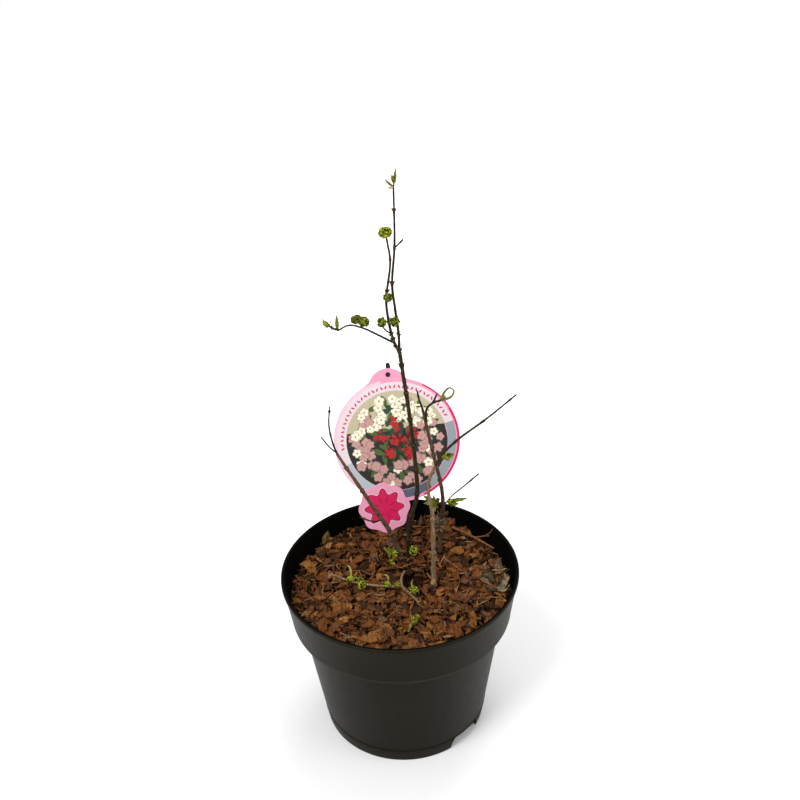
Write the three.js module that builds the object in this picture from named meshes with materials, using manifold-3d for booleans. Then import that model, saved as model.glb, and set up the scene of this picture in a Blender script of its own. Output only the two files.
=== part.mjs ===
// Young plicate viburnum in a nursery pot. A few thin stems with opposite buds and opening leaves
// stand in bark mulch, and a round plant label on a stick leans against the back of the pot.
// Units are millimetres, +Z is up and +Y is the back. The origin is the middle of the pot's underside.

import * as THREE from "three";
import { mergeVertices } from "three/addons/utils/BufferGeometryUtils.js";
import Module from "manifold-3d";

const wasm = await Module();
wasm.setup();

// ---------------------------------------------------------------- driving sizes

const GAP = 0.3; // clearance between neighbouring solids

const POT = {
  height: 147,
  rimRadius: 96.4,
  lipHeight: 2.4,
  lipWidth: 3,
  collarTopRadius: 95.2,
  collarFootRadius: 90.2,
  collarHeight: 40,
  wallTopRadius: 83.2,
  footRadius: 68,
  wall: 1.8,
  floor: 2.4,
  padRadius: 46,
  channelHeight: 12.4,
  channelOuterRadius: 61,
  bevel: 2,
  segments: 48,
};

const NOTCH = { azimuths: [-44, 136], width: 34, topWidth: 27, height: 12 }; // in the foot ring
const DRAIN = { count: 8, radius: 4, circleRadius: 53.5 };

const MULCH = {
  bottom: 112,
  middle: 128,
  edge: 131,
  cells: 18, // across the top
  lump: 1.3,
  footPad: 13, // flat radius kept round the foot of each stem
  seed: 11,
};
// The chips are heaped up against the back of the pot.
const HEAP = { x: 44, y: 80, rise: 9, radius: 22 };

// The label's own frame has its origin at the foot, X to the right and Z up the stick.
const LABEL = {
  foot: [9, 71, 130.8],
  pads: [[-18, 71, 129.2], [-2, 71, 129.2]], // the mulch is flat under the badge
  leanBack: 20,
  leanLeft: 4,
  thickness: 0.9,
  disc: { x: -0.8, z: 81, radius: 54.8 },
  tab: { x: -3, z: 127.4, radius: 17.5, joinAngle: 25, halfFoot: 27 },
  badge: { x: -18.6, z: 22.6, radius: 22.8, scallop: 1.9, lobes: 8 },
  hole: { x: -2.2, z: 139.5, radius: 2.6 },
};

const STICK = {
  width: 6.4,
  tipWidth: 3.8,
  tipShift: -1.4, // the stick stands a little askew behind the card
  thickness: 2,
  top: 149.5,
  pegRadius: 2,
  pegLength: 2.4,
};

// Each limb runs through its turning points, [x, y, z], from foot to tip. A limb with an inGround
// foot is cut flat where it meets the mulch, and its z is worked out from there.
const LIMBS = {
  main_stem: {
    inGround: true,
    through: [[7.5, 34, 0], [10, 30, 169], [16.5, 26, 199], [15.5, 21, 238], [12, 14, 286], [6.4, 6, 342]],
    footRadius: 1.9,
    tipRadius: 1.4,
  },
  left_leader: {
    through: [
      [6, 5.8, 340], [2.8, 4.5, 349], [0.3, 3.4, 362],
      [-1.3, 1.8, 381], [2.6, -1.2, 412], [0.9, -2.6, 428.5],
    ],
    footRadius: 1.15,
    tipRadius: 0.7,
  },
  right_leader: {
    through: [[6.6, 6, 340], [6.6, 6.2, 353], [4.6, 6, 375], [3.4, 6, 392], [6, 6, 420], [6.9, 6, 461]],
    footRadius: 1.1,
    tipRadius: 0.65,
  },
  left_bough: {
    inGround: true,
    through: [
      [1, 43, 0], [-7, 39, 154], [-17, 34.5, 178],
      [-30, 28.5, 209], [-39.5, 24, 231], [-45, 22, 244],
    ],
    footRadius: 2.3,
    tipRadius: 1.1,
  },
  right_bough: {
    inGround: true,
    through: [[35.5, 44.5, 0], [36, 41, 160], [38, 38, 179], [36.5, 35, 202], [31, 30, 233], [23.6, 24, 277]],
    footRadius: 1.8,
    tipRadius: 1.2,
  },
  right_stem: {
    inGround: true,
    through: [[27.5, 1, 0], [28, 9.5, 166], [28, 14, 188], [25.4, 19, 210], [28, 22, 221], [32.5, 24, 228.5]],
    footRadius: 2.1,
    tipRadius: 1.15,
  },
  low_twig: {
    inGround: true,
    through: [[3.6, 21, 0], [0.8, 4, 131.5], [1.6, -6, 131.5], [7, -14, 131.3], [14, -26, 131.3]],
    footRadius: 1,
    tipRadius: 0.85,
  },
  fallen_twig: {
    through: [[47.3, 64, 136.9], [65.6, 50.7, 134.6], [80.8, 37.2, 132.6]],
    footRadius: 1.2,
    tipRadius: 0.7,
  },
};

const LIMB_SIDES = 6;
const LIMB_STEP = 9; // length of one stretch of a limb
const NODE_SPACING = 27; // from one pair of buds to the next
const BUD = { length: 3, radius: 0.75, lean: 32 };
const ROOT_FLARE = { amount: 0.35, height: 5 };

// Each mass grows from one stem, which starts inside the limb that bears it. Side twigs leave at "from", a
// fraction of the stem. A tuft of opening leaves sits at "at", a fraction of the twig, and faces "to".
// A tuft's leaves come in opposite pairs; spread is their angle from "to", curl how far tips turn in.
const MASSES = {
  left_leader_top: {
    stem: [[0.9, -2.6, 428.9], [0.6, -2.8, 430.7]],
    radius: [0.65, 0.6],
    tufts: [{ at: 1, to: [-0.2, -0.2, 1], size: 10, pairs: 3, spread: 66, curl: 0.75 }],
  },
  left_leader_middle: {
    stem: [[-1.2, 1.9, 381], [-0.2, -1, 382.4], [-0.2, -2.2, 384]],
    radius: [0.6, 0.5],
    tufts: [{ at: 1, to: [0, -0.4, 1], size: 7.2, pairs: 2, spread: 56, curl: 0.7 }],
  },
  right_leader_top: {
    stem: [[6.9, 6, 461.3], [7.2, 6, 463.4]],
    radius: [0.6, 0.55],
    tufts: [{ at: 1, to: [0.12, 0, 1], size: 6.6, pairs: 2, spread: 44, curl: 0.3 }],
    blades: [
      { at: 1, to: [0.19, 0, 1], length: 11, width: 1.8 },
      { at: 0.2, to: [-0.75, -0.2, 0.7], length: 8.5, width: 1.8 },
    ],
  },
  right_leader_spur: {
    stem: [[6, 6, 419], [8.4, 3.4, 422], [12, 2.5, 426]],
    radius: [0.6, 0.5],
    buds: true,
  },
  fork_left_tuft: {
    stem: [[1.3, 4, 355], [-2.4, 0.5, 359.5], [-4.3, -2, 363.4]],
    radius: [0.6, 0.55],
    tufts: [{ at: 1, to: [-0.1, -0.2, 1], size: 8, pairs: 3, spread: 64, curl: 0.75 }],
  },
  fork_right_tuft: {
    stem: [[5.9, 6, 361], [4.6, 1.5, 362], [3.9, -1.2, 363.6]],
    radius: [0.6, 0.5],
    tufts: [{ at: 1, to: [-0.1, -0.3, 1], size: 7.8, pairs: 3, spread: 62, curl: 0.7 }],
  },
  arching_twig: {
    stem: [[3.4, 4.8, 347], [-6.6, -1, 356], [-18.6, -8, 366.2], [-28, -12.6, 370.8], [-35.6, -17, 369.2]],
    radius: [0.85, 0.6],
    tufts: [
      { at: 0.61, to: [0.2, 0, 1], size: 9, pairs: 3, spread: 56, curl: 0.7 },
      { at: 0.61, to: [-0.5, 0, 0.86], size: 11.5, pairs: 3, spread: 34, curl: 0.85 },
    ],
    twigs: [
      {
        from: 0.98,
        tip: [-40.6, -19, 373.6],
        radius: 0.7,
        tuft: { size: 7.6, pairs: 2, spread: 38, curl: 0.1 },
      },
    ],
    blades: [{ at: 1, to: [0.02, 0, 1], length: 11.8, width: 2.6 }],
  },
  left_bough_tips: {
    stem: [[-44.7, 22.1, 243.4], [-47.6, 22.8, 252.5], [-49.9, 24.4, 269], [-48.2, 26, 285]],
    radius: [0.85, 0.5],
    twigs: [{ from: 0.03, tip: [-55.6, 14, 265], radius: 0.65 }],
    buds: true,
  },
  left_bough_spurs: {
    stem: [[-12.6, 36.6, 168.4], [-20, 31, 171], [-31, 33, 174.5]],
    radius: [0.8, 0.5],
    buds: true,
  },
  right_bough_left_tip: {
    stem: [[23.9, 24.2, 275.8], [22, 25.3, 282.6], [20.4, 26.5, 287.5], [19.2, 28, 294.4]],
    radius: [1, 0.6],
    twigs: [{ from: 0.35, tip: [18.4, 22, 284], radius: 0.55 }],
    buds: true,
  },
  right_bough_right_tip: {
    stem: [[25.3, 25.4, 267], [26, 19, 283.6], [30, 16, 289.6], [36.8, 12, 294.6]],
    radius: [0.95, 0.85],
    twigs: [{ from: 0.8, tip: [33, 13, 297], radius: 0.55 }],
    tufts: [{ at: 1, to: [0.62, -0.1, 0.8], size: 5, pairs: 1, spread: 26, curl: 0.3 }],
    hoops: [
      {
        at: 1,
        through: [[38.8, 11.4, 301], [43, 10.4, 305.4], [46, 9.6, 303], [43.8, 9.2, 298.4], [40.2, 10.6, 296]],
      },
    ],
  },
  long_right_twig: {
    stem: [[32, 23.8, 228], [36.7, 23.4, 237.8], [49.5, 22, 252.5], [71, 20, 271], [94, 18, 293]],
    radius: [1.15, 0.6],
    tufts: [{ at: 0.1, to: [1, -0.3, 0.25], size: 11.5, pairs: 2, spread: 28, curl: 0.1 }],
    buds: true,
  },
  low_right_spray: {
    stem: [[38, 38, 178], [45.5, 40.5, 186.4], [56.7, 43.5, 194.4], [68.5, 46, 203.8]],
    radius: [0.85, 0.7],
    tufts: [{ at: 0.14, to: [0.6, -0.6, 0.2], size: 10.5, pairs: 2, spread: 48, curl: 0.2 }],
    blades: [
      { at: 0.16, to: [1, -0.3, 0.36], length: 17.5, width: 3.2 },
      { at: 0.14, to: [0.9, -0.4, 0], length: 10.5, width: 5 },
    ],
    buds: true,
  },
  low_left_spray: {
    stem: [[38, 38, 180], [34.6, 35, 183.5], [32.4, 33.5, 185.4]],
    radius: [0.7, 0.55],
    tufts: [{ at: 1, to: [-0.6, -0.5, 0.5], size: 9.5, pairs: 2, spread: 56, curl: 0.2 }],
  },
  dry_spur: {
    stem: [[36, 41, 165], [38.4, 36, 169], [42.5, 34, 175]],
    radius: [0.7, 0.45],
    twigs: [
      { from: 0.35, tip: [33, 34, 173], radius: 0.5 },
      { from: 0.6, tip: [42.5, 35, 164], radius: 0.5 },
    ],
    buds: true,
  },
  main_stem_foot_tuft: {
    stem: [[8.3, 33, 138], [10.6, 30.4, 138], [12, 30, 138.6]],
    radius: [0.6, 0.55],
    tufts: [{ at: 1, to: [0.1, -0.2, 1], size: 8.8, pairs: 3, spread: 64, curl: 0.6 }],
  },
  foot_sprouts: {
    inGround: true,
    stem: [[-7.6, 29, 0], [-6.6, 29, 137]],
    radius: [0.8, 0.7],
    tufts: [
      { at: 0.66, to: [-0.1, -0.4, 1], size: 8, pairs: 2, spread: 58, curl: 0.4 },
      { at: 1, to: [0.5, 0, 1], size: 9, pairs: 2, spread: 50, curl: 0.5 },
    ],
    blades: [{ at: 1, to: [-0.6, 0.1, 1], length: 11, width: 2.4 }],
  },
  low_twig_sprouts: {
    stem: [[1.5, -5.6, 131.5], [-16, -5, 132.6], [-31, -2.4, 133.4], [-45, 3.5, 133.8], [-58, 11.5, 134.2]],
    radius: [1.2, 0.75],
    tufts: [
      { at: 0.06, to: [0, -0.1, 1], size: 6.4, pairs: 2, spread: 50, curl: 0.5 },
      { at: 0.2, to: [-0.1, 0, 1], size: 8.8, pairs: 2, spread: 50, curl: 0.5 },
      { at: 0.54, to: [0, -0.5, 1], size: 11, pairs: 2, spread: 60, curl: 0.55 },
      { at: 0.68, to: [-0.1, 0.2, 1], size: 12, pairs: 2, spread: 36, curl: 0.15 },
    ],
  },
  low_twig_right_tuft: {
    stem: [[7, -14, 131.3], [8.8, -13.8, 132.4], [9.8, -14.2, 133.2]],
    radius: [0.6, 0.55],
    tufts: [{ at: 1, to: [0.1, -0.3, 1], size: 9.4, pairs: 2, spread: 62, curl: 0.5 }],
  },
  lone_sprout: {
    inGround: true,
    stem: [[4.6, -53.2, 0], [7.8, -52.2, 134.4], [11.2, -51.4, 138.8]],
    radius: [1, 0.7],
    tufts: [
      { at: 0.74, to: [0.7, -0.1, 0.9], size: 5.4, pairs: 2, spread: 62, curl: 0.3 },
      { at: 1, to: [0.4, 0, 1], size: 5, pairs: 2, spread: 40, curl: 0.3 },
    ],
  },
};

const TWIG_SIDES = 3;
const TWIG_STEP = 6;
const LEAF = { sides: 4, steps: 2, width: 0.62, halfThickness: 0.3, sunk: 1 };
const MASS_BUD = { length: 2.4, radius: 0.55, lean: 35, spacing: 13 };
const MASS_SEED = 43;

const FINISH = {
  pot: { color: 0x23221d, roughness: 0.46 },
  mix: { color: 0x2a1d14, roughness: 0.98 },
  mulch: { color: 0x6b3a1c, roughness: 0.95 },
  bark: { color: 0x4d4034, roughness: 0.85 },
  deadwood: { color: 0x9a6a45, roughness: 0.9 },
  leaf: { color: 0x86a624, roughness: 0.6 },
  card: { color: 0xf29fc0, roughness: 0.4 },
  stick: { color: 0x141416, roughness: 0.5 },
};

// ---------------------------------------------------------------- helpers

// A seeded source of numbers from 0 to 1.
function makeRandom(seed) {
  let state = seed >>> 0;
  return () => {
    state = (state + 0x6d2b79f5) >>> 0;
    let mixed = Math.imul(state ^ (state >>> 15), state | 1);
    mixed ^= mixed + Math.imul(mixed ^ (mixed >>> 7), mixed | 61);
    return ((mixed ^ (mixed >>> 14)) >>> 0) / 4294967296;
  };
}

const vector = (xyz) => new THREE.Vector3(...xyz);
const degrees = THREE.MathUtils.degToRad;

// A closed three.js geometry as a manifold solid, with its shared vertices merged.
function toSolid(geometry) {
  const bare = new THREE.BufferGeometry();
  bare.setAttribute("position", geometry.getAttribute("position").clone());
  bare.setIndex(geometry.index);
  const merged = mergeVertices(bare, 1e-4);
  const corners = merged.index.array;
  const triangles = [];
  for (let i = 0; i < corners.length; i += 3) {
    const [a, b, c] = corners.subarray(i, i + 3);
    if (a !== b && b !== c && c !== a) triangles.push(a, b, c);
  }
  const vertProperties = new Float32Array(merged.getAttribute("position").array);
  const triVerts = new Uint32Array(triangles);
  return new wasm.Manifold(new wasm.Mesh({ numProp: 3, vertProperties, triVerts }));
}

// The largest piece of a solid, so that a scrap cut loose by a clearance is dropped.
function largestPiece(solid) {
  return solid.decompose().sort((a, b) => b.volume() - a.volume())[0];
}

function toMesh(name, solid, finish) {
  const made = solid.getMesh();
  const geometry = new THREE.BufferGeometry();
  geometry.setAttribute("position", new THREE.BufferAttribute(new Float32Array(made.vertProperties), 3));
  geometry.setIndex(new THREE.BufferAttribute(new Uint32Array(made.triVerts), 1));
  geometry.computeVertexNormals();
  const mesh = new THREE.Mesh(geometry, new THREE.MeshStandardMaterial({ metalness: 0, ...finish }));
  mesh.name = name;
  return mesh;
}

// A round solid from a profile of [radius, height] that starts and ends on the Z axis.
function turned(profile, segments) {
  const geometry = new THREE.LatheGeometry(profile.map(([r, z]) => new THREE.Vector2(r, z)), segments);
  return geometry.rotateX(Math.PI / 2);
}

// A closed tube along a curve. sectionAt gives its half width and half thickness at a fraction of
// the length; the width lies along "sideways" where that is given.
function sweep(curve, sides, steps, sectionAt, sideways) {
  const geometry = new THREE.CylinderGeometry(1, 1, 1, sides, steps);
  const frames = curve.computeFrenetFrames(steps);
  const position = geometry.getAttribute("position");
  for (let i = 0; i < position.count; i += 1) {
    const step = Math.round((position.getY(i) + 0.5) * steps);
    const tangent = frames.tangents[step];
    const across = sideways ? sideways.clone().projectOnPlane(tangent).normalize() : frames.normals[step];
    const through = new THREE.Vector3().crossVectors(across, tangent);
    const [halfWidth, halfThickness] = sectionAt(step / steps);
    const place = curve.getPointAt(step / steps);
    place.addScaledVector(across, position.getX(i) * halfWidth);
    place.addScaledVector(through, position.getZ(i) * halfThickness);
    position.setXYZ(i, place.x, place.y, place.z);
  }
  return geometry;
}

function groundLevel(x, y) {
  const share = Math.hypot(x, y) / (POT.collarFootRadius - POT.wall);
  const away = Math.hypot(x - HEAP.x, y - HEAP.y) / HEAP.radius;
  return MULCH.middle + (MULCH.edge - MULCH.middle) * share * share + HEAP.rise * Math.exp(-away * away);
}

// ---------------------------------------------------------------- pot and filling

// Inner radius of the pot's wall at a height, above the foot.
function innerRadius(z) {
  const collarFoot = POT.height - POT.collarHeight;
  const [low, high, from, to] = z < collarFoot
    ? [0, collarFoot, POT.footRadius, POT.wallTopRadius]
    : [collarFoot, POT.height, POT.collarFootRadius, POT.collarTopRadius];
  return from + ((to - from) * (z - low)) / (high - low) - POT.wall;
}

function makePot() {
  const collarFoot = POT.height - POT.collarHeight;
  const ceiling = POT.channelHeight + POT.floor;
  const channelInner = POT.padRadius + POT.bevel;
  const outside = [
    [0, 0],
    [POT.padRadius, 0],
    [channelInner, POT.channelHeight],
    [POT.channelOuterRadius - POT.bevel, POT.channelHeight],
    [POT.channelOuterRadius, 0],
    [POT.footRadius, 0],
    [POT.wallTopRadius, collarFoot],
    [POT.collarFootRadius, collarFoot + 0.8],
    [POT.collarTopRadius, POT.height - POT.lipHeight - 0.6],
    [POT.rimRadius, POT.height - POT.lipHeight],
    [POT.rimRadius, POT.height - 0.7],
    [POT.rimRadius - 0.7, POT.height],
  ];
  const inside = [
    [POT.rimRadius - POT.lipWidth, POT.height],
    [innerRadius(POT.height - POT.lipHeight), POT.height - POT.lipHeight],
    [innerRadius(collarFoot + POT.wall), collarFoot + POT.wall],
    [innerRadius(collarFoot - 0.1), collarFoot - 0.1],
    [innerRadius(ceiling), ceiling],
    [POT.padRadius, ceiling],
    [POT.padRadius - POT.bevel, POT.floor],
    [0, POT.floor],
  ];
  let pot = toSolid(turned([...outside, ...inside], POT.segments));
  for (const azimuth of NOTCH.azimuths) {
    pot = pot.subtract(toSolid(notchTool(azimuth)));
  }
  for (let i = 0; i < DRAIN.count; i += 1) {
    const angle = (2 * Math.PI * (i + 0.5)) / DRAIN.count;
    const drill = new THREE.CylinderGeometry(DRAIN.radius, DRAIN.radius, 4 * POT.floor, 12);
    drill.rotateX(Math.PI / 2);
    drill.translate(DRAIN.circleRadius * Math.cos(angle), DRAIN.circleRadius * Math.sin(angle), ceiling);
    pot = pot.subtract(toSolid(drill));
  }
  return pot;
}

// A block with slanted ends that cuts one drainage notch through the foot ring.
function notchTool(azimuth) {
  const outline = new THREE.Shape([
    new THREE.Vector2(-NOTCH.width / 2 - 1, -1),
    new THREE.Vector2(NOTCH.width / 2 + 1, -1),
    new THREE.Vector2(NOTCH.topWidth / 2, NOTCH.height),
    new THREE.Vector2(-NOTCH.topWidth / 2, NOTCH.height),
  ]);
  const reach = POT.footRadius + 6 - (POT.channelOuterRadius - 2 * POT.bevel);
  const tool = new THREE.ExtrudeGeometry(outline, { depth: reach, bevelEnabled: false });
  tool.rotateX(Math.PI / 2);
  tool.translate(0, POT.footRadius + 6, 0);
  return tool.rotateZ(degrees(azimuth - 90));
}

// The potting mix fills the pot up to the mulch, clear of the wall and floor.
function makeMix() {
  const top = MULCH.bottom - GAP;
  const ceiling = POT.channelHeight + POT.floor;
  const collarFoot = POT.height - POT.collarHeight;
  const profile = [
    [0, POT.floor + GAP],
    [POT.padRadius - POT.bevel - GAP, POT.floor + GAP],
    [POT.padRadius - 2 * GAP, ceiling + GAP],
    [innerRadius(ceiling) - 2 * GAP, ceiling + GAP],
    [innerRadius(collarFoot - 0.1) - 2 * GAP, collarFoot - 0.1],
    [innerRadius(collarFoot - 0.1) - 2 * GAP, top],
    [0, top],
  ];
  return toSolid(turned(profile, POT.segments / 2));
}

// The mulch is a layer whose top is lumpy, apart from a flat pad round the foot of each stem.
function makeMulch(feet) {
  const random = makeRandom(MULCH.seed);
  const [side, depth] = [2 * POT.rimRadius, MULCH.edge - MULCH.bottom];
  const block = new THREE.BoxGeometry(side, side, depth, MULCH.cells, MULCH.cells, 1);
  block.translate(0, 0, MULCH.bottom + depth / 2);
  const merged = mergeVertices(stripped(block), 1e-4);
  const position = merged.getAttribute("position");
  for (let i = 0; i < position.count; i += 1) {
    const [x, y, z] = [position.getX(i), position.getY(i), position.getZ(i)];
    if (z < MULCH.edge - 0.01) continue;
    const lump = MULCH.lump * (2 * random() - 1);
    const foot = feet.find((at) => Math.hypot(at.x - x, at.y - y) < MULCH.footPad);
    position.setZ(i, foot ? Math.min(foot.z, groundLevel(x, y)) : groundLevel(x, y) + lump);
  }
  const top = MULCH.edge + HEAP.rise + 2 * MULCH.lump;
  const room = [
    [0, MULCH.bottom - 1],
    [innerRadius(MULCH.bottom - 1) - GAP, MULCH.bottom - 1],
    [innerRadius(top) - GAP, top],
    [0, top],
  ];
  return toSolid(merged).intersect(toSolid(turned(room, POT.segments)));
}

function stripped(geometry) {
  geometry.deleteAttribute("normal");
  geometry.deleteAttribute("uv");
  return geometry;
}

// ---------------------------------------------------------------- stems

// The turning points of a limb or mass stem. One that stands in the mulch starts just below it.
function pathOf(points, inGround) {
  const turns = points.map(vector);
  if (inGround) turns[0].z = groundLevel(turns[0].x, turns[0].y) - 3;
  return new THREE.CatmullRomCurve3(turns, false, "centripetal");
}

function limbRadius(size, t, length) {
  const flare = size.inGround ? ROOT_FLARE.amount * Math.exp((-t * length) / ROOT_FLARE.height) : 0;
  return (size.footRadius + (size.tipRadius - size.footRadius) * t) * (1 + flare);
}

// A limb's bare wood, or with a margin the space that its neighbours keep clear of.
function limbWood(size, margin) {
  const curve = pathOf(size.through, size.inGround);
  const length = curve.getLength();
  const steps = Math.round(length / LIMB_STEP) + 1;
  const radiusAt = (t) => limbRadius(size, t, length) + margin;
  const wood = toSolid(sweep(curve, LIMB_SIDES, steps, (t) => [radiusAt(t), radiusAt(t)]));
  if (margin === 0) return wood;
  const tip = new THREE.CylinderGeometry(radiusAt(1), radiusAt(1), 2 * margin, LIMB_SIDES);
  tip.applyQuaternion(new THREE.Quaternion().setFromUnitVectors(vector([0, 1, 0]), curve.getTangentAt(1)));
  tip.translate(...curve.getPointAt(1).toArray());
  return wood.add(toSolid(tip));
}

// A pair of opposite buds; each pair is turned a quarter round from the one below.
function budPair(curve, t, radius, bud, quarterTurn) {
  const along = curve.getTangentAt(t);
  const aside = vector([Math.abs(along.x) > 0.9 ? 0 : 1, Math.abs(along.x) > 0.9 ? 1 : 0, 0]);
  aside.projectOnPlane(along).normalize().applyAxisAngle(along, quarterTurn * Math.PI / 2);
  return [1, -1].map((side) => {
    const out = aside.clone().multiplyScalar(side);
    const lean = degrees(bud.lean);
    const way = along.clone().multiplyScalar(Math.cos(lean)).addScaledVector(out, Math.sin(lean));
    const cone = new THREE.ConeGeometry(bud.radius, bud.length, 4);
    cone.applyQuaternion(new THREE.Quaternion().setFromUnitVectors(vector([0, 1, 0]), way));
    const seat = curve.getPointAt(t).addScaledVector(out, 0.55 * radius);
    cone.translate(...seat.addScaledVector(way, 0.4 * bud.length).toArray());
    return toSolid(cone);
  });
}

// Cuts away what lies below the mulch, so that a foot is flat and just clear of it.
function cutAtGround(solid, foot) {
  const ground = new THREE.BoxGeometry(60, 60, 30);
  ground.translate(foot.x, foot.y, foot.z + GAP - 15);
  return solid.subtract(toSolid(ground));
}

function footOf(points) {
  const [x, y] = points[0];
  return new THREE.Vector3(x, y, groundLevel(x, y));
}

function makeLimb(size) {
  const curve = pathOf(size.through, size.inGround);
  const length = curve.getLength();
  let limb = limbWood(size, 0);
  const pairs = Math.floor(length / NODE_SPACING);
  for (let i = 1; i <= pairs; i += 1) {
    const t = i / (pairs + 0.6);
    for (const bud of budPair(curve, t, limbRadius(size, t, length), BUD, i % 2)) {
      limb = limb.add(bud);
    }
  }
  return size.inGround ? cutAtGround(limb, footOf(size.through)) : limb;
}

// ---------------------------------------------------------------- leaves and masses

// An opening leaf: a thin blade, pointed at both ends, that leaves its twig along "start" with its
// root sunk in, and bends towards "end".
function leafBlade(base, start, end, length, width) {
  const middle = base.clone().addScaledVector(start, 0.5 * length);
  const tip = middle.clone().addScaledVector(end, 0.5 * length);
  const sunk = base.clone().addScaledVector(start, -LEAF.sunk);
  const curve = new THREE.QuadraticBezierCurve3(sunk, middle, tip);
  const upright = Math.abs(start.z) > 0.95 ? vector([0, 1, 0]) : vector([0, 0, 1]);
  const sideways = new THREE.Vector3().crossVectors(start, upright);
  const sectionAt = (t) => (t > 0 && t < 1 ? [0.5 * width, LEAF.halfThickness] : [0, 0]);
  return sweep(curve, LEAF.sides, LEAF.steps, sectionAt, sideways);
}

// A tuft's leaves stand in opposite pairs round its direction, each pair turned on from the last.
function tuftLeaves(base, to, tuft, random) {
  const facing = to.clone().normalize();
  const side = new THREE.Vector3().crossVectors(facing, vector([0.31, 0.95, 0.12])).normalize();
  const leaves = [];
  for (let pair = 0; pair < tuft.pairs; pair += 1) {
    const turn = (Math.PI * pair) / tuft.pairs + 0.5 * (random() - 0.5);
    for (const half of [0, Math.PI]) {
      const out = side.clone().applyAxisAngle(facing, turn + half);
      const spread = degrees(tuft.spread * (0.8 + 0.4 * random()));
      const length = tuft.size * (0.8 + 0.3 * random());
      const start = facing.clone().multiplyScalar(Math.cos(spread)).addScaledVector(out, Math.sin(spread));
      const inward = Math.sin(spread) * (1 - 2 * tuft.curl);
      const end = facing.clone().multiplyScalar(Math.cos(spread)).addScaledVector(out, inward).normalize();
      leaves.push(leafBlade(base, start, end, length, LEAF.width * length));
    }
  }
  return leaves;
}

function twigSolid(curve, radii) {
  const steps = Math.max(2, Math.round(curve.getLength() / TWIG_STEP));
  const radiusAt = (t) => radii[0] + (radii[1] - radii[0]) * t;
  return toSolid(sweep(curve, TWIG_SIDES, steps, (t) => [radiusAt(t), radiusAt(t)]));
}

// One mass: its stem, side twigs, hoops, buds and leaves, fused, and cut clear of what is placed.
function makeMass(size, limbSpaces, placed, random) {
  const stem = pathOf(size.stem, size.inGround);
  let mass = twigSolid(stem, size.radius);
  const leaves = [];
  for (const twig of size.twigs ?? []) {
    const start = stem.getPointAt(twig.from);
    const tip = vector(twig.tip);
    const bend = start.clone().lerp(tip, 0.5).add(vector([0, 0, -0.06 * start.distanceTo(tip)]));
    const curve = new THREE.QuadraticBezierCurve3(start, bend, tip);
    mass = mass.add(twigSolid(curve, [twig.radius, 0.8 * twig.radius]));
    if (twig.tuft) leaves.push(...tuftLeaves(tip, curve.getTangentAt(1), twig.tuft, random));
  }
  for (const hoop of size.hoops ?? []) {
    const curve = new THREE.CatmullRomCurve3([stem.getPointAt(hoop.at), ...hoop.through.map(vector)]);
    const toFront = vector([0, -1, 0]);
    mass = mass.add(toSolid(sweep(curve, LEAF.sides, 8, () => [0.9, 1.5 * LEAF.halfThickness], toFront)));
  }
  if (size.buds) {
    const pairs = Math.max(1, Math.floor(stem.getLength() / MASS_BUD.spacing));
    for (let i = 1; i <= pairs; i += 1) {
      const bud = budPair(stem, i / (pairs + 0.25), size.radius[1], MASS_BUD, i % 2);
      mass = mass.add(bud[0]).add(bud[1]);
    }
  }
  for (const tuft of size.tufts ?? []) {
    leaves.push(...tuftLeaves(stem.getPointAt(tuft.at), vector(tuft.to), tuft, random));
  }
  for (const blade of size.blades ?? []) {
    const way = vector(blade.to).normalize();
    leaves.push(leafBlade(stem.getPointAt(blade.at), way, way, blade.length, blade.width));
  }
  const taken = [...limbSpaces, ...placed];
  for (const leaf of leaves.map(toSolid)) {
    if (taken.every((other) => other.intersect(leaf).volume() < 0.001)) mass = mass.add(leaf);
  }
  if (size.inGround) mass = cutAtGround(mass, footOf(size.stem));
  for (const space of limbSpaces) {
    mass = mass.subtract(space);
  }
  return largestPiece(mass);
}

// ---------------------------------------------------------------- label

function scallopedPath(at) {
  const path = [];
  const points = 6 * at.lobes;
  for (let i = 0; i < points; i += 1) {
    const angle = (2 * Math.PI * i) / points;
    const radius = at.radius - at.scallop * (0.5 - 0.5 * Math.cos(at.lobes * angle));
    path.push(new THREE.Vector2(at.x + radius * Math.cos(angle), at.z + radius * Math.sin(angle)));
  }
  return path;
}

// The tab is round, and widens into the disc through a small hollow on each side.
function tabPath(tab, disc) {
  const path = new THREE.Shape();
  const join = degrees(tab.joinAngle);
  const [x, z] = [tab.radius * Math.cos(join), tab.radius * Math.sin(join)];
  const [left, right] = [tab.x - tab.halfFoot, tab.x + tab.halfFoot];
  const discEdge = (at) => disc.z - 0.5 + Math.sqrt(disc.radius ** 2 - (at - disc.x) ** 2);
  path.moveTo(left, discEdge(left));
  path.quadraticCurveTo(tab.x - x - 2, tab.z + z - 2, tab.x - x, tab.z + z);
  path.absarc(tab.x, tab.z, tab.radius, Math.PI - join, join, true);
  path.quadraticCurveTo(tab.x + x + 2, tab.z + z - 2, right, discEdge(right));
  return path.getPoints(8);
}

// A flat outline in the label's XZ plane made into a plate whose front face is at "front".
function plate(outline, front, thickness) {
  const points = outline.filter((point, i) => point.distanceTo(outline.at(i - 1)) > 0.01);
  const shape = new THREE.Shape(points);
  const geometry = new THREE.ExtrudeGeometry(shape, { depth: thickness, bevelEnabled: false });
  geometry.rotateX(Math.PI / 2);
  return toSolid(geometry.translate(0, front + thickness, 0));
}

function makeCard() {
  const { disc, tab, badge, hole, thickness } = LABEL;
  const round = new THREE.Path().absarc(disc.x, disc.z, disc.radius, 0, 2 * Math.PI, false).getPoints(24);
  const card = plate(round.slice(0, -1), 0, thickness)
    .add(plate(tabPath(tab, disc), 0, thickness))
    .add(plate(scallopedPath(badge), 0, thickness));
  const punch = new THREE.CylinderGeometry(hole.radius, hole.radius, 4 * thickness, 14);
  return card.subtract(toSolid(punch.translate(hole.x, 0, hole.z)));
}

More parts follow.
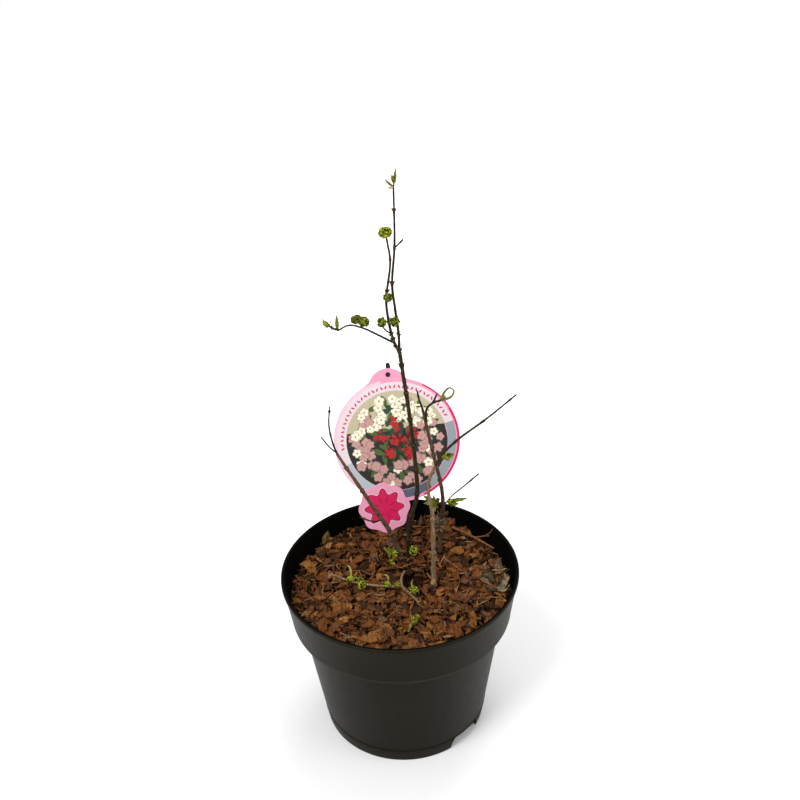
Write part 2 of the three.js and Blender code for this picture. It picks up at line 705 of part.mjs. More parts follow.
// The stick stands behind the card, narrows upwards, and has a peg through the card's hole.
function makeStick() {
  const back = LABEL.thickness + GAP;
  const [foot, tip, buried] = [STICK.width / 2, STICK.tipWidth / 2, -6];
  const [left, right] = [STICK.tipShift - tip, STICK.tipShift + tip];
  const corners = [[-foot, buried], [foot, buried], [right, STICK.top], [left, STICK.top]];
  const bar = plate(corners.map(([x, z]) => new THREE.Vector2(x, z)), back, STICK.thickness);
  const peg = new THREE.CylinderGeometry(STICK.pegRadius, STICK.pegRadius, STICK.pegLength, 12);
  peg.translate(LABEL.hole.x, back + 0.4 - STICK.pegLength / 2, LABEL.hole.z);
  return bar.add(toSolid(peg));
}

function labelPlacement() {
  const group = new THREE.Group();
  group.position.set(...LABEL.foot);
  group.rotation.set(degrees(-LABEL.leanBack), degrees(-LABEL.leanLeft), 0);
  group.updateMatrixWorld();
  return group;
}

// The stick is cut flat where it meets the mulch; the cut is made in the label's own frame.
function stickAboveGround(stick, placement) {
  const ground = new THREE.BoxGeometry(60, 60, 30);
  const foot = vector(LABEL.foot);
  ground.translate(foot.x, foot.y, groundLevel(foot.x, foot.y + 3) + GAP + MULCH.lump - 15);
  ground.applyMatrix4(placement.matrixWorld.clone().invert());
  return stick.subtract(toSolid(ground));
}

// ---------------------------------------------------------------- assembly

const viburnum = new THREE.Group();

const feet = [...Object.values(LIMBS), ...Object.values(MASSES)]
  .filter((size) => size.inGround)
  .map((size) => footOf(size.through ?? size.stem));
feet.push(...LABEL.pads.map(vector));

viburnum.add(toMesh("pot", makePot(), FINISH.pot));
viburnum.add(toMesh("potting_mix", makeMix(), FINISH.mix));
viburnum.add(toMesh("bark_mulch", makeMulch(feet), FINISH.mulch));

const limbSpaces = [];
for (const [name, size] of Object.entries(LIMBS)) {
  let limb = makeLimb(size);
  for (const space of limbSpaces) {
    limb = limb.subtract(space);
  }
  limbSpaces.push(limbWood(size, GAP));
  viburnum.add(toMesh(name, largestPiece(limb), name === "fallen_twig" ? FINISH.deadwood : FINISH.bark));
}

const placedMasses = [];
const random = makeRandom(MASS_SEED);
for (const [name, size] of Object.entries(MASSES)) {
  const mass = makeMass(size, limbSpaces, placedMasses, random);
  placedMasses.push(mass);
  viburnum.add(toMesh(name, mass, size.tufts ? FINISH.leaf : FINISH.bark));
}

const label = labelPlacement();
label.add(toMesh("label_card", makeCard(), FINISH.card));
label.add(toMesh("label_stick", stickAboveGround(makeStick(), label), FINISH.stick));
viburnum.add(label);

export default viburnum;
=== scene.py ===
"""Looks of a young snowball viburnum in a nursery pot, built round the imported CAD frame.

Lengths are millimetres in the row's frame: +Z is up, +Y is the back, and the origin is the middle
of the pot's underside. They become metres where a mesh is made. The stems and masses grow from the
same turning points and by the same rule as the CAD solids, carried on to finer buds and leaves.
"""

import math
from collections import namedtuple
from types import SimpleNamespace as Sizes

import bpy
import numpy as np
from mathutils import Matrix, Vector


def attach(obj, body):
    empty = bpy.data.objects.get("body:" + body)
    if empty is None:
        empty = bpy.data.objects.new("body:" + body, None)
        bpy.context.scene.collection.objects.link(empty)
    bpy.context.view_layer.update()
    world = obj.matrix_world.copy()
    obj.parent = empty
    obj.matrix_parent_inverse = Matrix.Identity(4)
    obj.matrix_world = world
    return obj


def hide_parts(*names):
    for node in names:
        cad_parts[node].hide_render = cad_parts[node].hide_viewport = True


MM = 0.001
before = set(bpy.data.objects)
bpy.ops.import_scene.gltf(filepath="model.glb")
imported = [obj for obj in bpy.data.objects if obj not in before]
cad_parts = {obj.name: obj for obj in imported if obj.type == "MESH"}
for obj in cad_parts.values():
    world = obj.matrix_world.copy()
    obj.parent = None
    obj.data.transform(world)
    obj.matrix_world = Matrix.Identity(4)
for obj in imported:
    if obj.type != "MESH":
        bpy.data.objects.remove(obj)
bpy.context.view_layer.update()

# ---- driving sizes

POT = Sizes(
    height=147, rim_radius=96.4, lip_height=2.4, lip_width=3, wall=1.8, floor=2.4,
    collar_top=95.2, collar_foot=90.2, collar_height=40, collar_step=0.9,
    bead_height=2.8, bead_width=1.6, bead_depth=0.15,
    wall_top=83.2, foot_radius=68, ring_line=12.8, ring_depth=0.3,
    pad_radius=46, channel_height=12.4, channel_outer=61, bevel=2, sides=240,
)
# Finishes of the pot: its outside; its inside and rim top painted darker as shade; its bead painted lighter
# as a highlight.
POT_FINISHES = ("pot_outside", "pot_shaded_inside", "pot_bead_highlight")
NOTCH = Sizes(azimuths=(-44, 136), width=34, top_width=27, height=12, past_foot=6)
DRAIN = Sizes(count=8, radius=4, circle_radius=53.5, cut_below=4, cut_above=6, sides=24)
SHARP = Sizes(pot=32, litter=28)  # edges sharper than this, in degrees, stay sharp

MULCH = Sizes(middle=128, edge=131, clear=0.3, bed_depth=7, bed_uneven=0.8, bed_rings=40, bed_sides=96)
HEAP = Sizes(at=(44, 80), rise=9, radius=22)  # chips heaped up against the back of the pot
# Where the first stems left the mulch bare; chips are painted dark as shade, and few, within these shares
# of its radius.
HOLLOW = Sizes(at=(12, 11), radius=12, depth=12, dark=0.85, few=0.7)

LABEL = Sizes(foot=(9, 71, 130.8), lean_back=20, lean_left=4, thickness=0.9, clear=(-36, 8, 2.2))
DISC = Sizes(x=-0.8, z=81, radius=54.8, picture=44.0, ring=51.6, line=54.3)
DISC_BANDS = [  # inner and outer radius, start and stop in degrees, and finish
    (DISC.ring + 0.9, DISC.line, -70, 26, "print_crimson"),
    (DISC.ring + 1.6, DISC.line, 26, 60, "print_crimson"),
    (DISC.picture, DISC.ring, 14, 200, "print_lilac"),
    (DISC.ring, DISC.line, 100, 250, "print_pale_pink"),
    (DISC.picture, DISC.ring, 200, 248, "print_pale_grey"),
    (DISC.picture, DISC.ring, 248, 300, "print_blue_dark"),
    (DISC.picture, DISC.ring, 300, 374, "print_grey_blue"),
]
GARLAND = Sizes(azimuths=(22, 186, 4.6), length=3.9, width=1.5, lean=0.5)  # from, to and by
FLOWERS = Sizes(rounds=6, count=16, inner=21, outer=DISC.picture - 5.2, apart=11.5, radii=(3.8, 5.2))
FOLIAGE = Sizes(count=90, inner=3, outer=DISC.picture - 6.5, apart=5, lengths=(8, 13), widths=(3.4, 5.4))
BERRIES = Sizes(azimuths=(20, 92, 164, 236, 308), reach=13.5, count=26, dark=9, scatter=2.9, radii=(1, 1.5))
TAB = Sizes(x=-3, z=127.4, radius=17.5, join_angle=25, half_foot=27)
BADGE = Sizes(x=-18.6, z=22.6, radius=22.8, scallop=1.9, lobes=8, vein=8, vein_width=0.7)
BADGE_PRINTS = [  # inset, depth of the scallops, and finish
    (0, BADGE.scallop, "card_pink"),
    (4.4, 5.2, "print_white"),
    (5, 5.2, "print_maroon"),
    (5.9, 5, "print_crimson"),
]
STICK = Sizes(
    width=6.4, tip_width=3.8, tip_shift=-1.4, thickness=2, top=149.5, gap=0.3,
    rib_width=1.6, rib_tip_width=1, rib_top=135.5, rib_depth=0.9, peg=(-2.2, 139.5), peg_radius=2,
)

FOOT_DEPTH = 3  # how far below the mulch's level a limb in the ground starts

# Each limb runs through its turning points from foot to tip.
LIMBS = {
    "main_stem": dict(
        ground=True, radii=(1.9, 1.4), bark="bark_dark",
        through=[
            (7.5, 34, 0), (10, 30, 169), (16.5, 26, 199), (15.5, 21, 238), (12, 14, 286), (6.4, 6, 342),
        ],
    ),
    "left_leader": dict(
        radii=(1.15, 0.7), bark="bark_dark",
        through=[
            (6, 5.8, 340), (2.8, 4.5, 349), (0.3, 3.4, 362), (-1.3, 1.8, 381), (2.6, -1.2, 412),
            (0.9, -2.6, 428.5),
        ],
    ),
    "right_leader": dict(
        radii=(1.1, 0.65), bark="bark_dark",
        through=[(6.6, 6, 340), (6.6, 6.2, 353), (4.6, 6, 375), (3.4, 6, 392), (6, 6, 420), (6.9, 6, 461)],
    ),
    "left_bough": dict(
        ground=True, radii=(2.3, 1.1), bark="bark_grey",
        through=[
            (1, 43, 0), (-7, 39, 154), (-17, 34.5, 178), (-30, 28.5, 209), (-39.5, 24, 231), (-45, 22, 244),
        ],
    ),
    "right_bough": dict(
        ground=True, radii=(1.8, 1.2), bark="bark_brown",
        through=[
            (35.5, 44.5, 0), (36, 41, 160), (38, 38, 179), (36.5, 35, 202), (31, 30, 233), (23.6, 24, 277),
        ],
    ),
    "right_stem": dict(
        ground=True, radii=(2.1, 1.15), bark="bark_pale",
        through=[
            (27.5, 1, 0), (28, 9.5, 166), (28, 14, 188), (25.4, 19, 210), (28, 22, 221), (32.5, 24, 228.5),
        ],
    ),
    "low_twig": dict(
        ground=True, radii=(1, 0.85), bark="bark_pale",
        through=[(3.6, 21, 0), (0.8, 4, 131.5), (1.6, -6, 131.5), (7, -14, 131.3), (14, -26, 131.3)],
    ),
    "fallen_twig": dict(
        radii=(1.2, 0.7), bark="dead_wood",
        through=[(47.3, 64, 136.9), (65.6, 50.7, 134.6), (80.8, 37.2, 132.6)],
    ),
}
NODE_SPACING = 27  # from one pair of buds to the next
# The ring and the leaf scar at a node, and the warts: swellings are shares of the radius.
NODE = Sizes(swelling=0.42, length=1.5, scar=0.12, scar_above=2.6, scar_length=0.5)
WARTS = Sizes(count=60, reach=240, swelling=0.16, length=0.8, angle=0.45)
BUD = Sizes(length=3.4, radius=0.85, lean=28, vary=(0.8, 1.15))
ROOT_FLARE = Sizes(amount=0.35, height=5)

# A mass grows from one stem. Its leaves sit at a share of the stem and face "to": those of a ball curl
# round each other, those of a tuft stand apart, and a blade and a horn are one leaf and one curled bract.
Ball = namedtuple("Ball", "at to size tint face tall stalk", defaults=(None, 1, 0))
Tuft = namedtuple("Tuft", "at to size pairs spread tint slim", defaults=(0.46,))
Blade = namedtuple("Blade", "at to length width tint")
Horn = namedtuple("Horn", "at middle tip width")
MASSES = {
    "left_leader_top": dict(
        stem=[(0.9, -2.6, 428.9), (0.6, -2.8, 430.7)], radii=(0.65, 0.6),
        leaves=[Ball(1, (-0.2, -0.4, 1), 9, "bright")],
    ),
    "left_leader_middle": dict(
        stem=[(-1.2, 1.9, 381), (-0.2, -1, 382.4), (-0.2, -2.2, 384)], radii=(0.6, 0.5),
        leaves=[Ball(1, (0, -0.2, 1), 5.8, "olive", face=(0.1, -0.6, 1), tall=1.7)],
    ),
    "right_leader_top": dict(
        stem=[(6.9, 6, 461.3), (7.2, 6, 463.4)], radii=(0.6, 0.55),
        leaves=[
            Tuft(1, (0.12, 0, 1), 7, 3, 44, "olive"), Blade(1, (0.19, 0, 1), 11, 1.9, "leaf_olive"),
            Blade(0.2, (-0.75, -0.2, 0.7), 8.5, 1.9, "leaf_olive"),
            Blade(0.1, (-0.8, -0.5, 0.2), 5, 2.6, "bract_pale"),
        ],
    ),
    "right_leader_spur": dict(
        stem=[(6, 6, 419), (8.4, 3.4, 422), (12, 2.5, 426)], radii=(0.6, 0.5), buds=1,
    ),
    "fork_left_tuft": dict(
        stem=[(1.3, 4, 355), (-2.4, 0.5, 359.5), (-4.3, -2, 363.4)], radii=(0.6, 0.55),
        leaves=[Ball(1, (-0.13, -0.22, 1), 7.2, "green", face=(-0.2, -1, 0.5), stalk=1.6)],
    ),
    "fork_right_tuft": dict(
        stem=[(5.9, 6, 361), (4.6, 1.5, 362), (3.9, -1.2, 363.6)], radii=(0.6, 0.5),
        leaves=[Ball(1, (0, -0.1, 1), 7.6, "green", face=(0.1, -0.7, 0.8))],
    ),
    "arching_twig": dict(
        stem=[
            (3.4, 4.8, 347), (-6.6, -1, 356), (-18.6, -8, 366.2), (-28, -12.6, 370.8), (-35.6, -17, 369.2),
        ],
        radii=(0.85, 0.6),
        twigs=[dict(start=0.98, tip=(-40.6, -19, 373.6), radius=0.9, scales=(0.3, 0.75))],
        tip_tuft=Tuft(1, None, 7.8, 4, 52, "green", slim=0.27),
        leaves=[
            Ball(0.61, (0.2, 0, 1), 8.2, "olive", face=(0.3, -0.4, 1), stalk=1.8),
            Ball(0.61, (-0.5, 0, 0.86), 7.4, "green", face=(-0.4, -0.3, 1), stalk=5.2),
            Blade(1, (0.02, 0, 1), 11.8, 2.8, "leaf_green"),
        ],
    ),
    "left_bough_tips": dict(
        stem=[(-44.7, 22.1, 243.4), (-47.6, 22.8, 252.5), (-49.9, 24.4, 269), (-48.2, 26, 285)],
        radii=(0.85, 0.5), buds=2, twigs=[dict(start=0.03, tip=(-55.6, 14, 265), radius=0.65)],
    ),
    "left_bough_spurs": dict(
        stem=[(-12.6, 36.6, 168.4), (-20, 31, 171), (-31, 33, 174.5)], radii=(0.8, 0.5), buds=1,
    ),
    "right_bough_left_tip": dict(
        stem=[(23.9, 24.2, 275.8), (22, 25.3, 282.6), (20.4, 26.5, 287.5), (19.2, 28, 294.4)],
        radii=(1, 0.6), buds=1, twigs=[dict(start=0.35, tip=(18.4, 22, 284), radius=0.55)],
    ),
    "right_bough_right_tip": dict(
        stem=[(25.3, 25.4, 267), (26, 19, 283.6), (30, 16, 289.6), (36.8, 12, 294.6)], radii=(0.95, 0.85),
        twigs=[dict(start=0.72, tip=(33.4, 13, 299), radius=0.8)],
        hoop=[(38.8, 11.4, 301), (43, 10.4, 305.4), (46, 9.6, 303), (43.8, 9.2, 298.4), (40.2, 10.6, 296)],
        leaves=[Tuft(1, (0.62, -0.1, 0.8), 5.4, 2, 30, "tan", slim=0.6)],
    ),
    "long_right_twig": dict(
        stem=[(32, 23.8, 228), (36.7, 23.4, 237.8), (49.5, 22, 252.5), (71, 20, 271), (94, 18, 293)],
        radii=(1.15, 0.6), buds=3, leaves=[Tuft(0.1, (1, -0.3, 0.25), 12.4, 2, 28, "olive")],
    ),
    "low_right_spray": dict(
        stem=[(38, 38, 178), (45.5, 40.5, 186.4), (56.7, 43.5, 194.4), (68.5, 46, 203.8)],
        radii=(0.46, 0.66), buds=1,
        leaves=[
            Tuft(0.14, (0.6, -0.6, 0.3), 9.8, 3, 46, "bright", slim=0.5),
            Blade(0.16, (1, -0.3, 0.36), 17.5, 4.2, "leaf_green"),
            Blade(0.14, (0.9, -0.4, 0), 10.5, 5.4, "leaf_bright"),
        ],
    ),
    "low_left_spray": dict(
        stem=[(38, 38, 180), (34.6, 35, 183.5), (32.4, 33.5, 185.4)], radii=(0.7, 0.55),
        leaves=[Tuft(1, (-0.6, -0.5, 0.5), 12, 4, 56, "olive", slim=0.38)],
    ),
    "dry_spur": dict(
        stem=[(36, 41, 165), (38.4, 36, 169), (42.5, 34, 175)], radii=(0.7, 0.45), buds=1,
        twigs=[
            dict(start=0.35, tip=(33, 34, 173), radius=0.5),
            dict(start=0.6, tip=(42.5, 35, 164), radius=0.5),
        ],
    ),
    "main_stem_foot_tuft": dict(
        stem=[(8.3, 33, 138), (10.6, 30.4, 138), (12, 30, 138.6)], radii=(0.6, 0.55),
        leaves=[Ball(1, (0.1, -0.6, 0.9), 7.2, "bright")],
    ),
    "foot_sprouts": dict(
        ground=True, stem=[(-7.6, 29, 0), (-6.6, 29, 137)], radii=(0.8, 0.7),
        leaves=[
            Tuft(0.66, (-0.1, -0.4, 1), 8, 3, 50, "bright", slim=0.4),
            Tuft(0.42, (0.3, -0.8, 0.4), 6, 2, 50, "bright"), Tuft(1, (0.5, 0, 1), 8, 3, 50, "bright"),
            Blade(1, (-0.6, 0.1, 1), 11, 2.6, "leaf_bright"),
        ],
    ),
    "low_twig_sprouts": dict(
        stem=[
            (1.5, -5.6, 131.5), (-16, -5, 132.6), (-31, -2.4, 133.4), (-45, 3.5, 133.8), (-58, 11.5, 134.2),
        ],
        radii=(1.2, 0.75), bark="bark_pale",
        leaves=[
            Ball(0.06, (0, -0.1, 1), 5, "bright"), Ball(0.2, (0.1, -0.2, 1), 5.4, "bright"),
            Ball(0.54, (0.1, -0.9, 0.5), 7, "bright"), Ball(0.68, (-0.1, 0, 1), 6, "bright"),
            Horn(0.2, (-10, -2.5, 139.6), (-15, -0.5, 140.2), 1.5),
            Horn(0.54, (-36, -3.5, 141), (-39.5, -5, 136.6), 1.8),
            Horn(0.54, (-33, -4, 141.6), (-28, -4.5, 138), 1.5),
            Horn(0.68, (-40.5, 8, 140), (-43.5, 13, 141.4), 1.9),
        ],
    ),
    "low_twig_right_tuft": dict(
        stem=[(7, -14, 131.3), (8.8, -13.8, 132.4), (9.8, -14.2, 133.2)], radii=(0.6, 0.55),
        bark="bark_pale",
        leaves=[
            Ball(1, (0.1, -0.5, 1), 7, "bright"), Horn(1, (9, -11, 139), (10.5, -9.5, 141.5), 1.3),
            Horn(1, (13.5, -16, 136), (14.2, -19, 133.5), 1.3),
        ],
    ),
    "lone_sprout": dict(
        ground=True, stem=[(4.6, -53.2, 0), (7.8, -52.2, 134.4), (11.2, -51.4, 138.8)], radii=(1, 0.7),
        bark="sprout_stalk",
        leaves=[
            Ball(0.74, (0.9, -0.3, 0.3), 4, "bright"), Ball(0.84, (-0.8, 0, 0.7), 3.6, "bright"),
            Ball(1, (0.4, -0.3, 1), 3.8, "bright"),
        ],
    ),
}
MASS_BUD = Sizes(length=2.6, radius=0.6, lean=30, vary=None)

# Dry scales round a limb where a shoot began, at a share of it.
Whorl = namedtuple("Whorl", "limb at count size lean tint", defaults=(None,))
WHORLS = [
    Whorl("left_leader", 0.03, 5, (3.4, 0.8), 34),
    Whorl("left_leader", 0.11, 6, (3.6, 0.9), 30),
    Whorl("left_leader", 0.17, 5, (3.2, 0.8), 36),
    Whorl("right_leader", 0.1, 4, (3, 0.7), 34),
    Whorl("right_leader", 0.19, 5, (3.4, 0.8), 34),
    Whorl("left_leader", 0.5, 5, (3, 0.8), 40),
    Whorl("main_stem", 0.985, 5, (3, 0.8), 30),
    Whorl("left_bough", 0.13, 5, (4, 0.9), 38),
    Whorl("right_bough", 0.3, 4, (3.4, 0.8), 36),
    Whorl("right_bough", 0.17, 7, (7.5, 1.3), 60, tint="dead_leaf_pale"),
    Whorl("right_bough", 0.2, 8, (9.5, 1.3), 56, tint="dead_leaf"),
    Whorl("right_bough", 0.235, 8, (8.5, 1.2), 52, tint="dead_leaf_pale"),
    Whorl("right_bough", 0.265, 7, (6.5, 1), 46, tint="dead_leaf_brown"),
]

# How deep a leaf's teeth and pleats are, how its pleats slant, and how uneven it is, to its width.
LEAF = Sizes(tooth=0.1, pleat=0.09, slant=0.9, uneven=0.012)
# Each leaf of a tuft takes one of these colours, dealt by their shares.
TINTS = {
    "bright": (("leaf_lime", 0.4), ("leaf_bright", 0.45), ("leaf_green", 0.15)),
    "green": (("leaf_bright", 0.5), ("leaf_green", 0.4), ("leaf_deep", 0.1)),
    "olive": (("leaf_bright", 0.15), ("leaf_green", 0.3), ("leaf_olive", 0.45), ("leaf_deep", 0.1)),
    "tan": (("hoop_green", 0.6), ("leaf_olive", 0.4)),
}
PLANT_SEED = 40
# The layers of a ball from the outside in: leaves, reach, and how far they open in degrees.
BALL_LAYERS = ((6, 1.0, 66), (5, 0.74, 44), (4, 0.45, 24))
AWRY = (0.31, 0.95, 0.12)  # a direction that no tuft faces

# Layers of bark chips: how many, their length, width to length, thickness, how far below the mulch's
# level they lie, how much they tilt in degrees, and what share of them is painted dark as shade.
Layer = namedtuple("Layer", "count length slim thick below tilt shaded")
CHIPS = [
    Layer(900, (8, 14), (0.4, 0.75), (1.2, 2.4), (4.6, 7), 28, 0.45),
    Layer(1500, (4, 8), (0.3, 0.6), (0.8, 1.8), (2.8, 5.2), 38, 0.25),
    Layer(420, (9, 15), (0.5, 0.85), (0.9, 1.8), (-0.8, 2.2), 26, 0.04),
    Layer(700, (5, 11), (0.18, 0.45), (0.6, 1.4), (-1, 2), 40, 0.08),
    Layer(600, (4, 10), (0.1, 0.24), (0.5, 1.1), (-1.2, 1.6), 34, 0.15),
    Layer(460, (2, 5), (0.2, 0.5), (0.4, 1), (0.4, 3), 42, 0.2),
    Layer(60, (6, 15), (0.04, 0.07), (0.5, 0.8), (-1.2, 0.2), 14, 0),
]
# Behind and left of these lines most chips over the longest are dropped; before them, most thin ones.
FINER = Sizes(front=-8, right=36, longest=8.5, thin=0.3, dropped=0.65)
# Shares of a chip's length that it keeps clear of the wall, a stem, the hollow and another large chip,
# and the lengths from which it is large, and too long to lie near the hollow.
CHIP_ROOM = Sizes(wall=0.42, stem=0.36, hollow=0.4, other=0.3, large=10, near_hollow=9)
# Base colour, the share of chips that have it, and which way its grain runs in degrees.
CHIP_TINTS = {
    "chip_rust": ((0.086, 0.029, 0.0070), 27, 20),
    "chip_orange": ((0.120, 0.047, 0.0120), 18, 95),
    "chip_amber": ((0.155, 0.064, 0.0160), 4, 60),
    "chip_brown": ((0.056, 0.022, 0.0072), 22, 140),
    "chip_dark": ((0.024, 0.0105, 0.0045), 13, 10),
    "chip_red": ((0.078, 0.023, 0.0085), 7, 70),
    "chip_mauve": ((0.074, 0.038, 0.021), 6, 120),
    "chip_tan": ((0.150, 0.080, 0.030), 2, 40),
}
SPLINTER_TINT = "chip_straw"
CHIP_SEED = 11

CAMERA = Sizes(
    at=(0, -640.08, 664.6), pitch=29.478, yaw=0.501, roll=-2.277,
    focal_px=1000, image_px=800, sensor_mm=36,
)

# ---- meshes


class Heap:
    """Many small meshes, in millimetres, that become one object with one slot per material."""

    def __init__(self):
        self.points, self.faces, self.slots, self.total = [], [], [], 0
        self.materials = []

    def add(self, points, faces, material):
        if material not in self.materials:
            self.materials.append(material)
        points = np.asarray(points, float)
        self.faces += [[self.total + i for i in face] for face in faces]
        self.slots += [self.materials.index(material)] * len(faces)
        self.points.append(points)
        self.total += len(points)

    def piece(self, name, smooth=True):
        mesh = bpy.data.meshes.new(name)
        mesh.from_pydata((np.vstack(self.points) * MM).tolist(), [], self.faces)
        for material in self.materials:
            mesh.materials.append(MATERIALS[material])
        mesh.polygons.foreach_set("material_index", self.slots)
        mesh.polygons.foreach_set("use_smooth", [smooth] * len(self.faces))
        mesh.update()
        return placed(name, mesh)


def placed(name, data):
    made = bpy.data.objects.new(name, data)
    bpy.context.scene.collection.objects.link(made)
    return made


def ring_faces(rows, around, closed=True):
    """Quads between neighbouring rows of points; a closed row joins its last point to its first."""
    faces = []
    for row in range(rows - 1):
        for i in range(around if closed else around - 1):
            j = (i + 1) % around
            a, b = row * around, (row + 1) * around
            faces.append([a + i, a + j, b + j, b + i])
    return faces


def capped_faces(rows, around):
    """Closed rows of points, and a fan at each end to a point that follows the rows."""
    faces, total = ring_faces(rows, around), rows * around
    for i in range(around):
        j = (i + 1) % around
        faces += [[j, i, total], [total - around + i, total - around + j, total + 1]]
    return faces


def ray(reach, angle):
    return reach * math.cos(angle), reach * math.sin(angle)


def full_turn(steps):
    return np.arange(steps) * 2 * math.pi / steps


def curve(start, pull, stop, steps=14):
    """A curve between two points that a third pulls aside."""
    t = np.linspace(0, 1, steps)[:, None]
    return np.asarray(start) * (1 - t) ** 2 + np.asarray(pull) * 2 * t * (1 - t) + np.asarray(stop) * t * t


def rotation(angle, axis):
    return Matrix.Rotation(math.radians(angle), 3, axis)


def unit(v):
    v = np.asarray(v, float)
    return v / np.linalg.norm(v)


def leant(along, out, degrees):
    """A direction that leans out from along."""
    lean = math.radians(degrees)
    return along * math.cos(lean) + out * math.sin(lean)


def turned_about(v, axis, angle):
    """v turned about a unit axis, by Rodrigues' formula."""
    v, axis = np.asarray(v, float), np.asarray(axis, float)
    across = np.cross(axis, v)
    return v * math.cos(angle) + across * math.sin(angle) + axis * np.dot(axis, v) * (1 - math.cos(angle))


# ---- paths and tubes


def ground_level(x, y):
    share = math.hypot(x, y) / (POT.collar_foot - POT.wall)
    away = math.dist((x, y), HEAP.at) / HEAP.radius
    level = MULCH.middle + (MULCH.edge - MULCH.middle) * share * share
    return level + HEAP.rise * math.exp(-away * away)


class Path:
    """A centripetal Catmull-Rom curve through turning points, read by its share of length."""

    FINE = 60  # samples in one stretch

    def __init__(self, turns, ground=False):
        turns = np.array(turns, float)
        if ground:
            turns[0][2] = ground_level(turns[0][0], turns[0][1]) - FOOT_DEPTH
        ends = np.vstack([2 * turns[0] - turns[1], turns, 2 * turns[-1] - turns[-2]])
        fine = [self._stretch(*ends[i:i + 4]) for i in range(len(turns) - 1)]
        self.points = np.vstack([*fine, turns[-1:]])
        steps = np.linalg.norm(np.diff(self.points, axis=0), axis=1)
        self.along = np.concatenate([[0], np.cumsum(steps)])
        self.length = self.along[-1]

    def _stretch(self, p0, p1, p2, p3):
        d0, d1, d2 = (max(np.linalg.norm(b - a), 1e-6) ** 0.5 for a, b in ((p0, p1), (p1, p2), (p2, p3)))
        t1 = ((p1 - p0) / d0 - (p2 - p0) / (d0 + d1) + (p2 - p1) / d1) * d1
        t2 = ((p2 - p1) / d1 - (p3 - p1) / (d1 + d2) + (p3 - p2) / d2) * d1
        t = np.arange(self.FINE)[:, None] / self.FINE
        square, cube = t * t, t * t * t
        return p1 + t1 * t + (-3 * p1 + 3 * p2 - 2 * t1 - t2) * square + (2 * p1 - 2 * p2 + t1 + t2) * cube

    def at(self, share):
        where = np.asarray(share) * self.length
        return np.stack([np.interp(where, self.along, self.points[:, k]) for k in range(3)], axis=-1)

    def tangent(self, share):
        step = min(0.4 / self.length, 0.2)
        low, high = max(share - step, 0), min(share + step, 1)
        return unit(self.at(high) - self.at(low))


def carried_frames(centres):
    """Two directions across a line of points at each point, turned no more than the line itself."""
    tangents = np.gradient(centres, axis=0)
    tangents /= np.linalg.norm(tangents, axis=1)[:, None]
    side = np.cross(tangents[0], (0, 1, 0) if abs(tangents[0][1]) < 0.9 else (1, 0, 0))
    sides = []
    for tangent in tangents:
        side = unit(side - tangent * np.dot(side, tangent))
        sides.append(side)
    sides = np.array(sides)
    return tangents, sides, np.cross(tangents, sides)


def add_tube(heap, path, radius_at, material, relief=None, sides=12, step=0.6):
    """A tube round a path with closed, rounded ends. relief(s, angle) scales the radius."""
    rows = max(int(path.length / step), 3)
    shares = np.linspace(0, 1, rows)
    centres = path.at(shares)
    tangents, across, through = carried_frames(centres)
    angles = full_turn(sides)
    points = []
    for i, share in enumerate(shares):
        radius = radius_at(share) * np.ones(sides)
        if relief:
            radius = radius * relief(share * path.length, angles)
        ring = np.outer(np.cos(angles) * radius, across[i]) + np.outer(np.sin(angles) * radius, through[i])
        points.append(centres[i] + ring)
    points.append(centres[0] - tangents[0] * 0.3 * radius_at(0))
    points.append(centres[-1] + tangents[-1] * 0.3 * radius_at(1))
    heap.add(np.vstack(points), capped_faces(rows, sides), material)


def add_bud(heap, seat, way, length, radius, material):
    """A pointed bud of two scales, with its foot on a twig."""
    rows, sides = 7, 8
    shares = np.linspace(0, 1, rows)
    belly = np.sin(math.pi * np.clip(shares, 0.04, 0.97) ** 0.62) * (1 - 0.25 * shares)
    side = unit(np.cross(way, (0.3, 0.9, 0.2)))
    through = np.cross(way, side)
    angles = full_turn(sides)
    points = []
    for share, wide in zip(shares, belly):
        ridge = 1 - 0.18 * np.abs(np.cos(angles)) ** 6  # the seams between the two scales
        across = np.outer(np.cos(angles) * ridge, side) + np.outer(np.sin(angles) * ridge * 0.85, through)
        points.append(seat + way * length * (share - 0.1) + across * radius * wide)
    heap.add(np.vstack(points), ring_faces(rows, sides), material)


def hoop_radius(share):
    return 1.3 - 0.5 * math.sin(math.pi * share)


def flattened(s, angles):
    """Relief that makes a round tube a ribbon, half as thick as it is wide."""
    return 1 / np.sqrt(np.cos(angles) ** 2 + 4 * np.sin(angles) ** 2)


def add_bud_pairs(heap, path, nodes, radius_at, bud, rng):
    """Two opposite buds at each node; each pair is a quarter turn on from the last."""
    for i, share in enumerate(nodes):
        along = path.tangent(share)
        aside = np.array((0.0, 1, 0) if abs(along[0]) > 0.9 else (1.0, 0, 0))
        aside = unit(aside - along * np.dot(aside, along))
        aside = turned_about(aside, along, (i + 1) % 2 * math.pi / 2)
        for out in (aside, -aside):
            seat = path.at(share) + out * 0.75 * radius_at(share)
            length = bud.length * rng.uniform(*bud.vary) if bud.vary else bud.length
            add_bud(heap, seat, leant(along, out, bud.lean), length, bud.radius, "bud_scale")


# ---- stems with bark relief


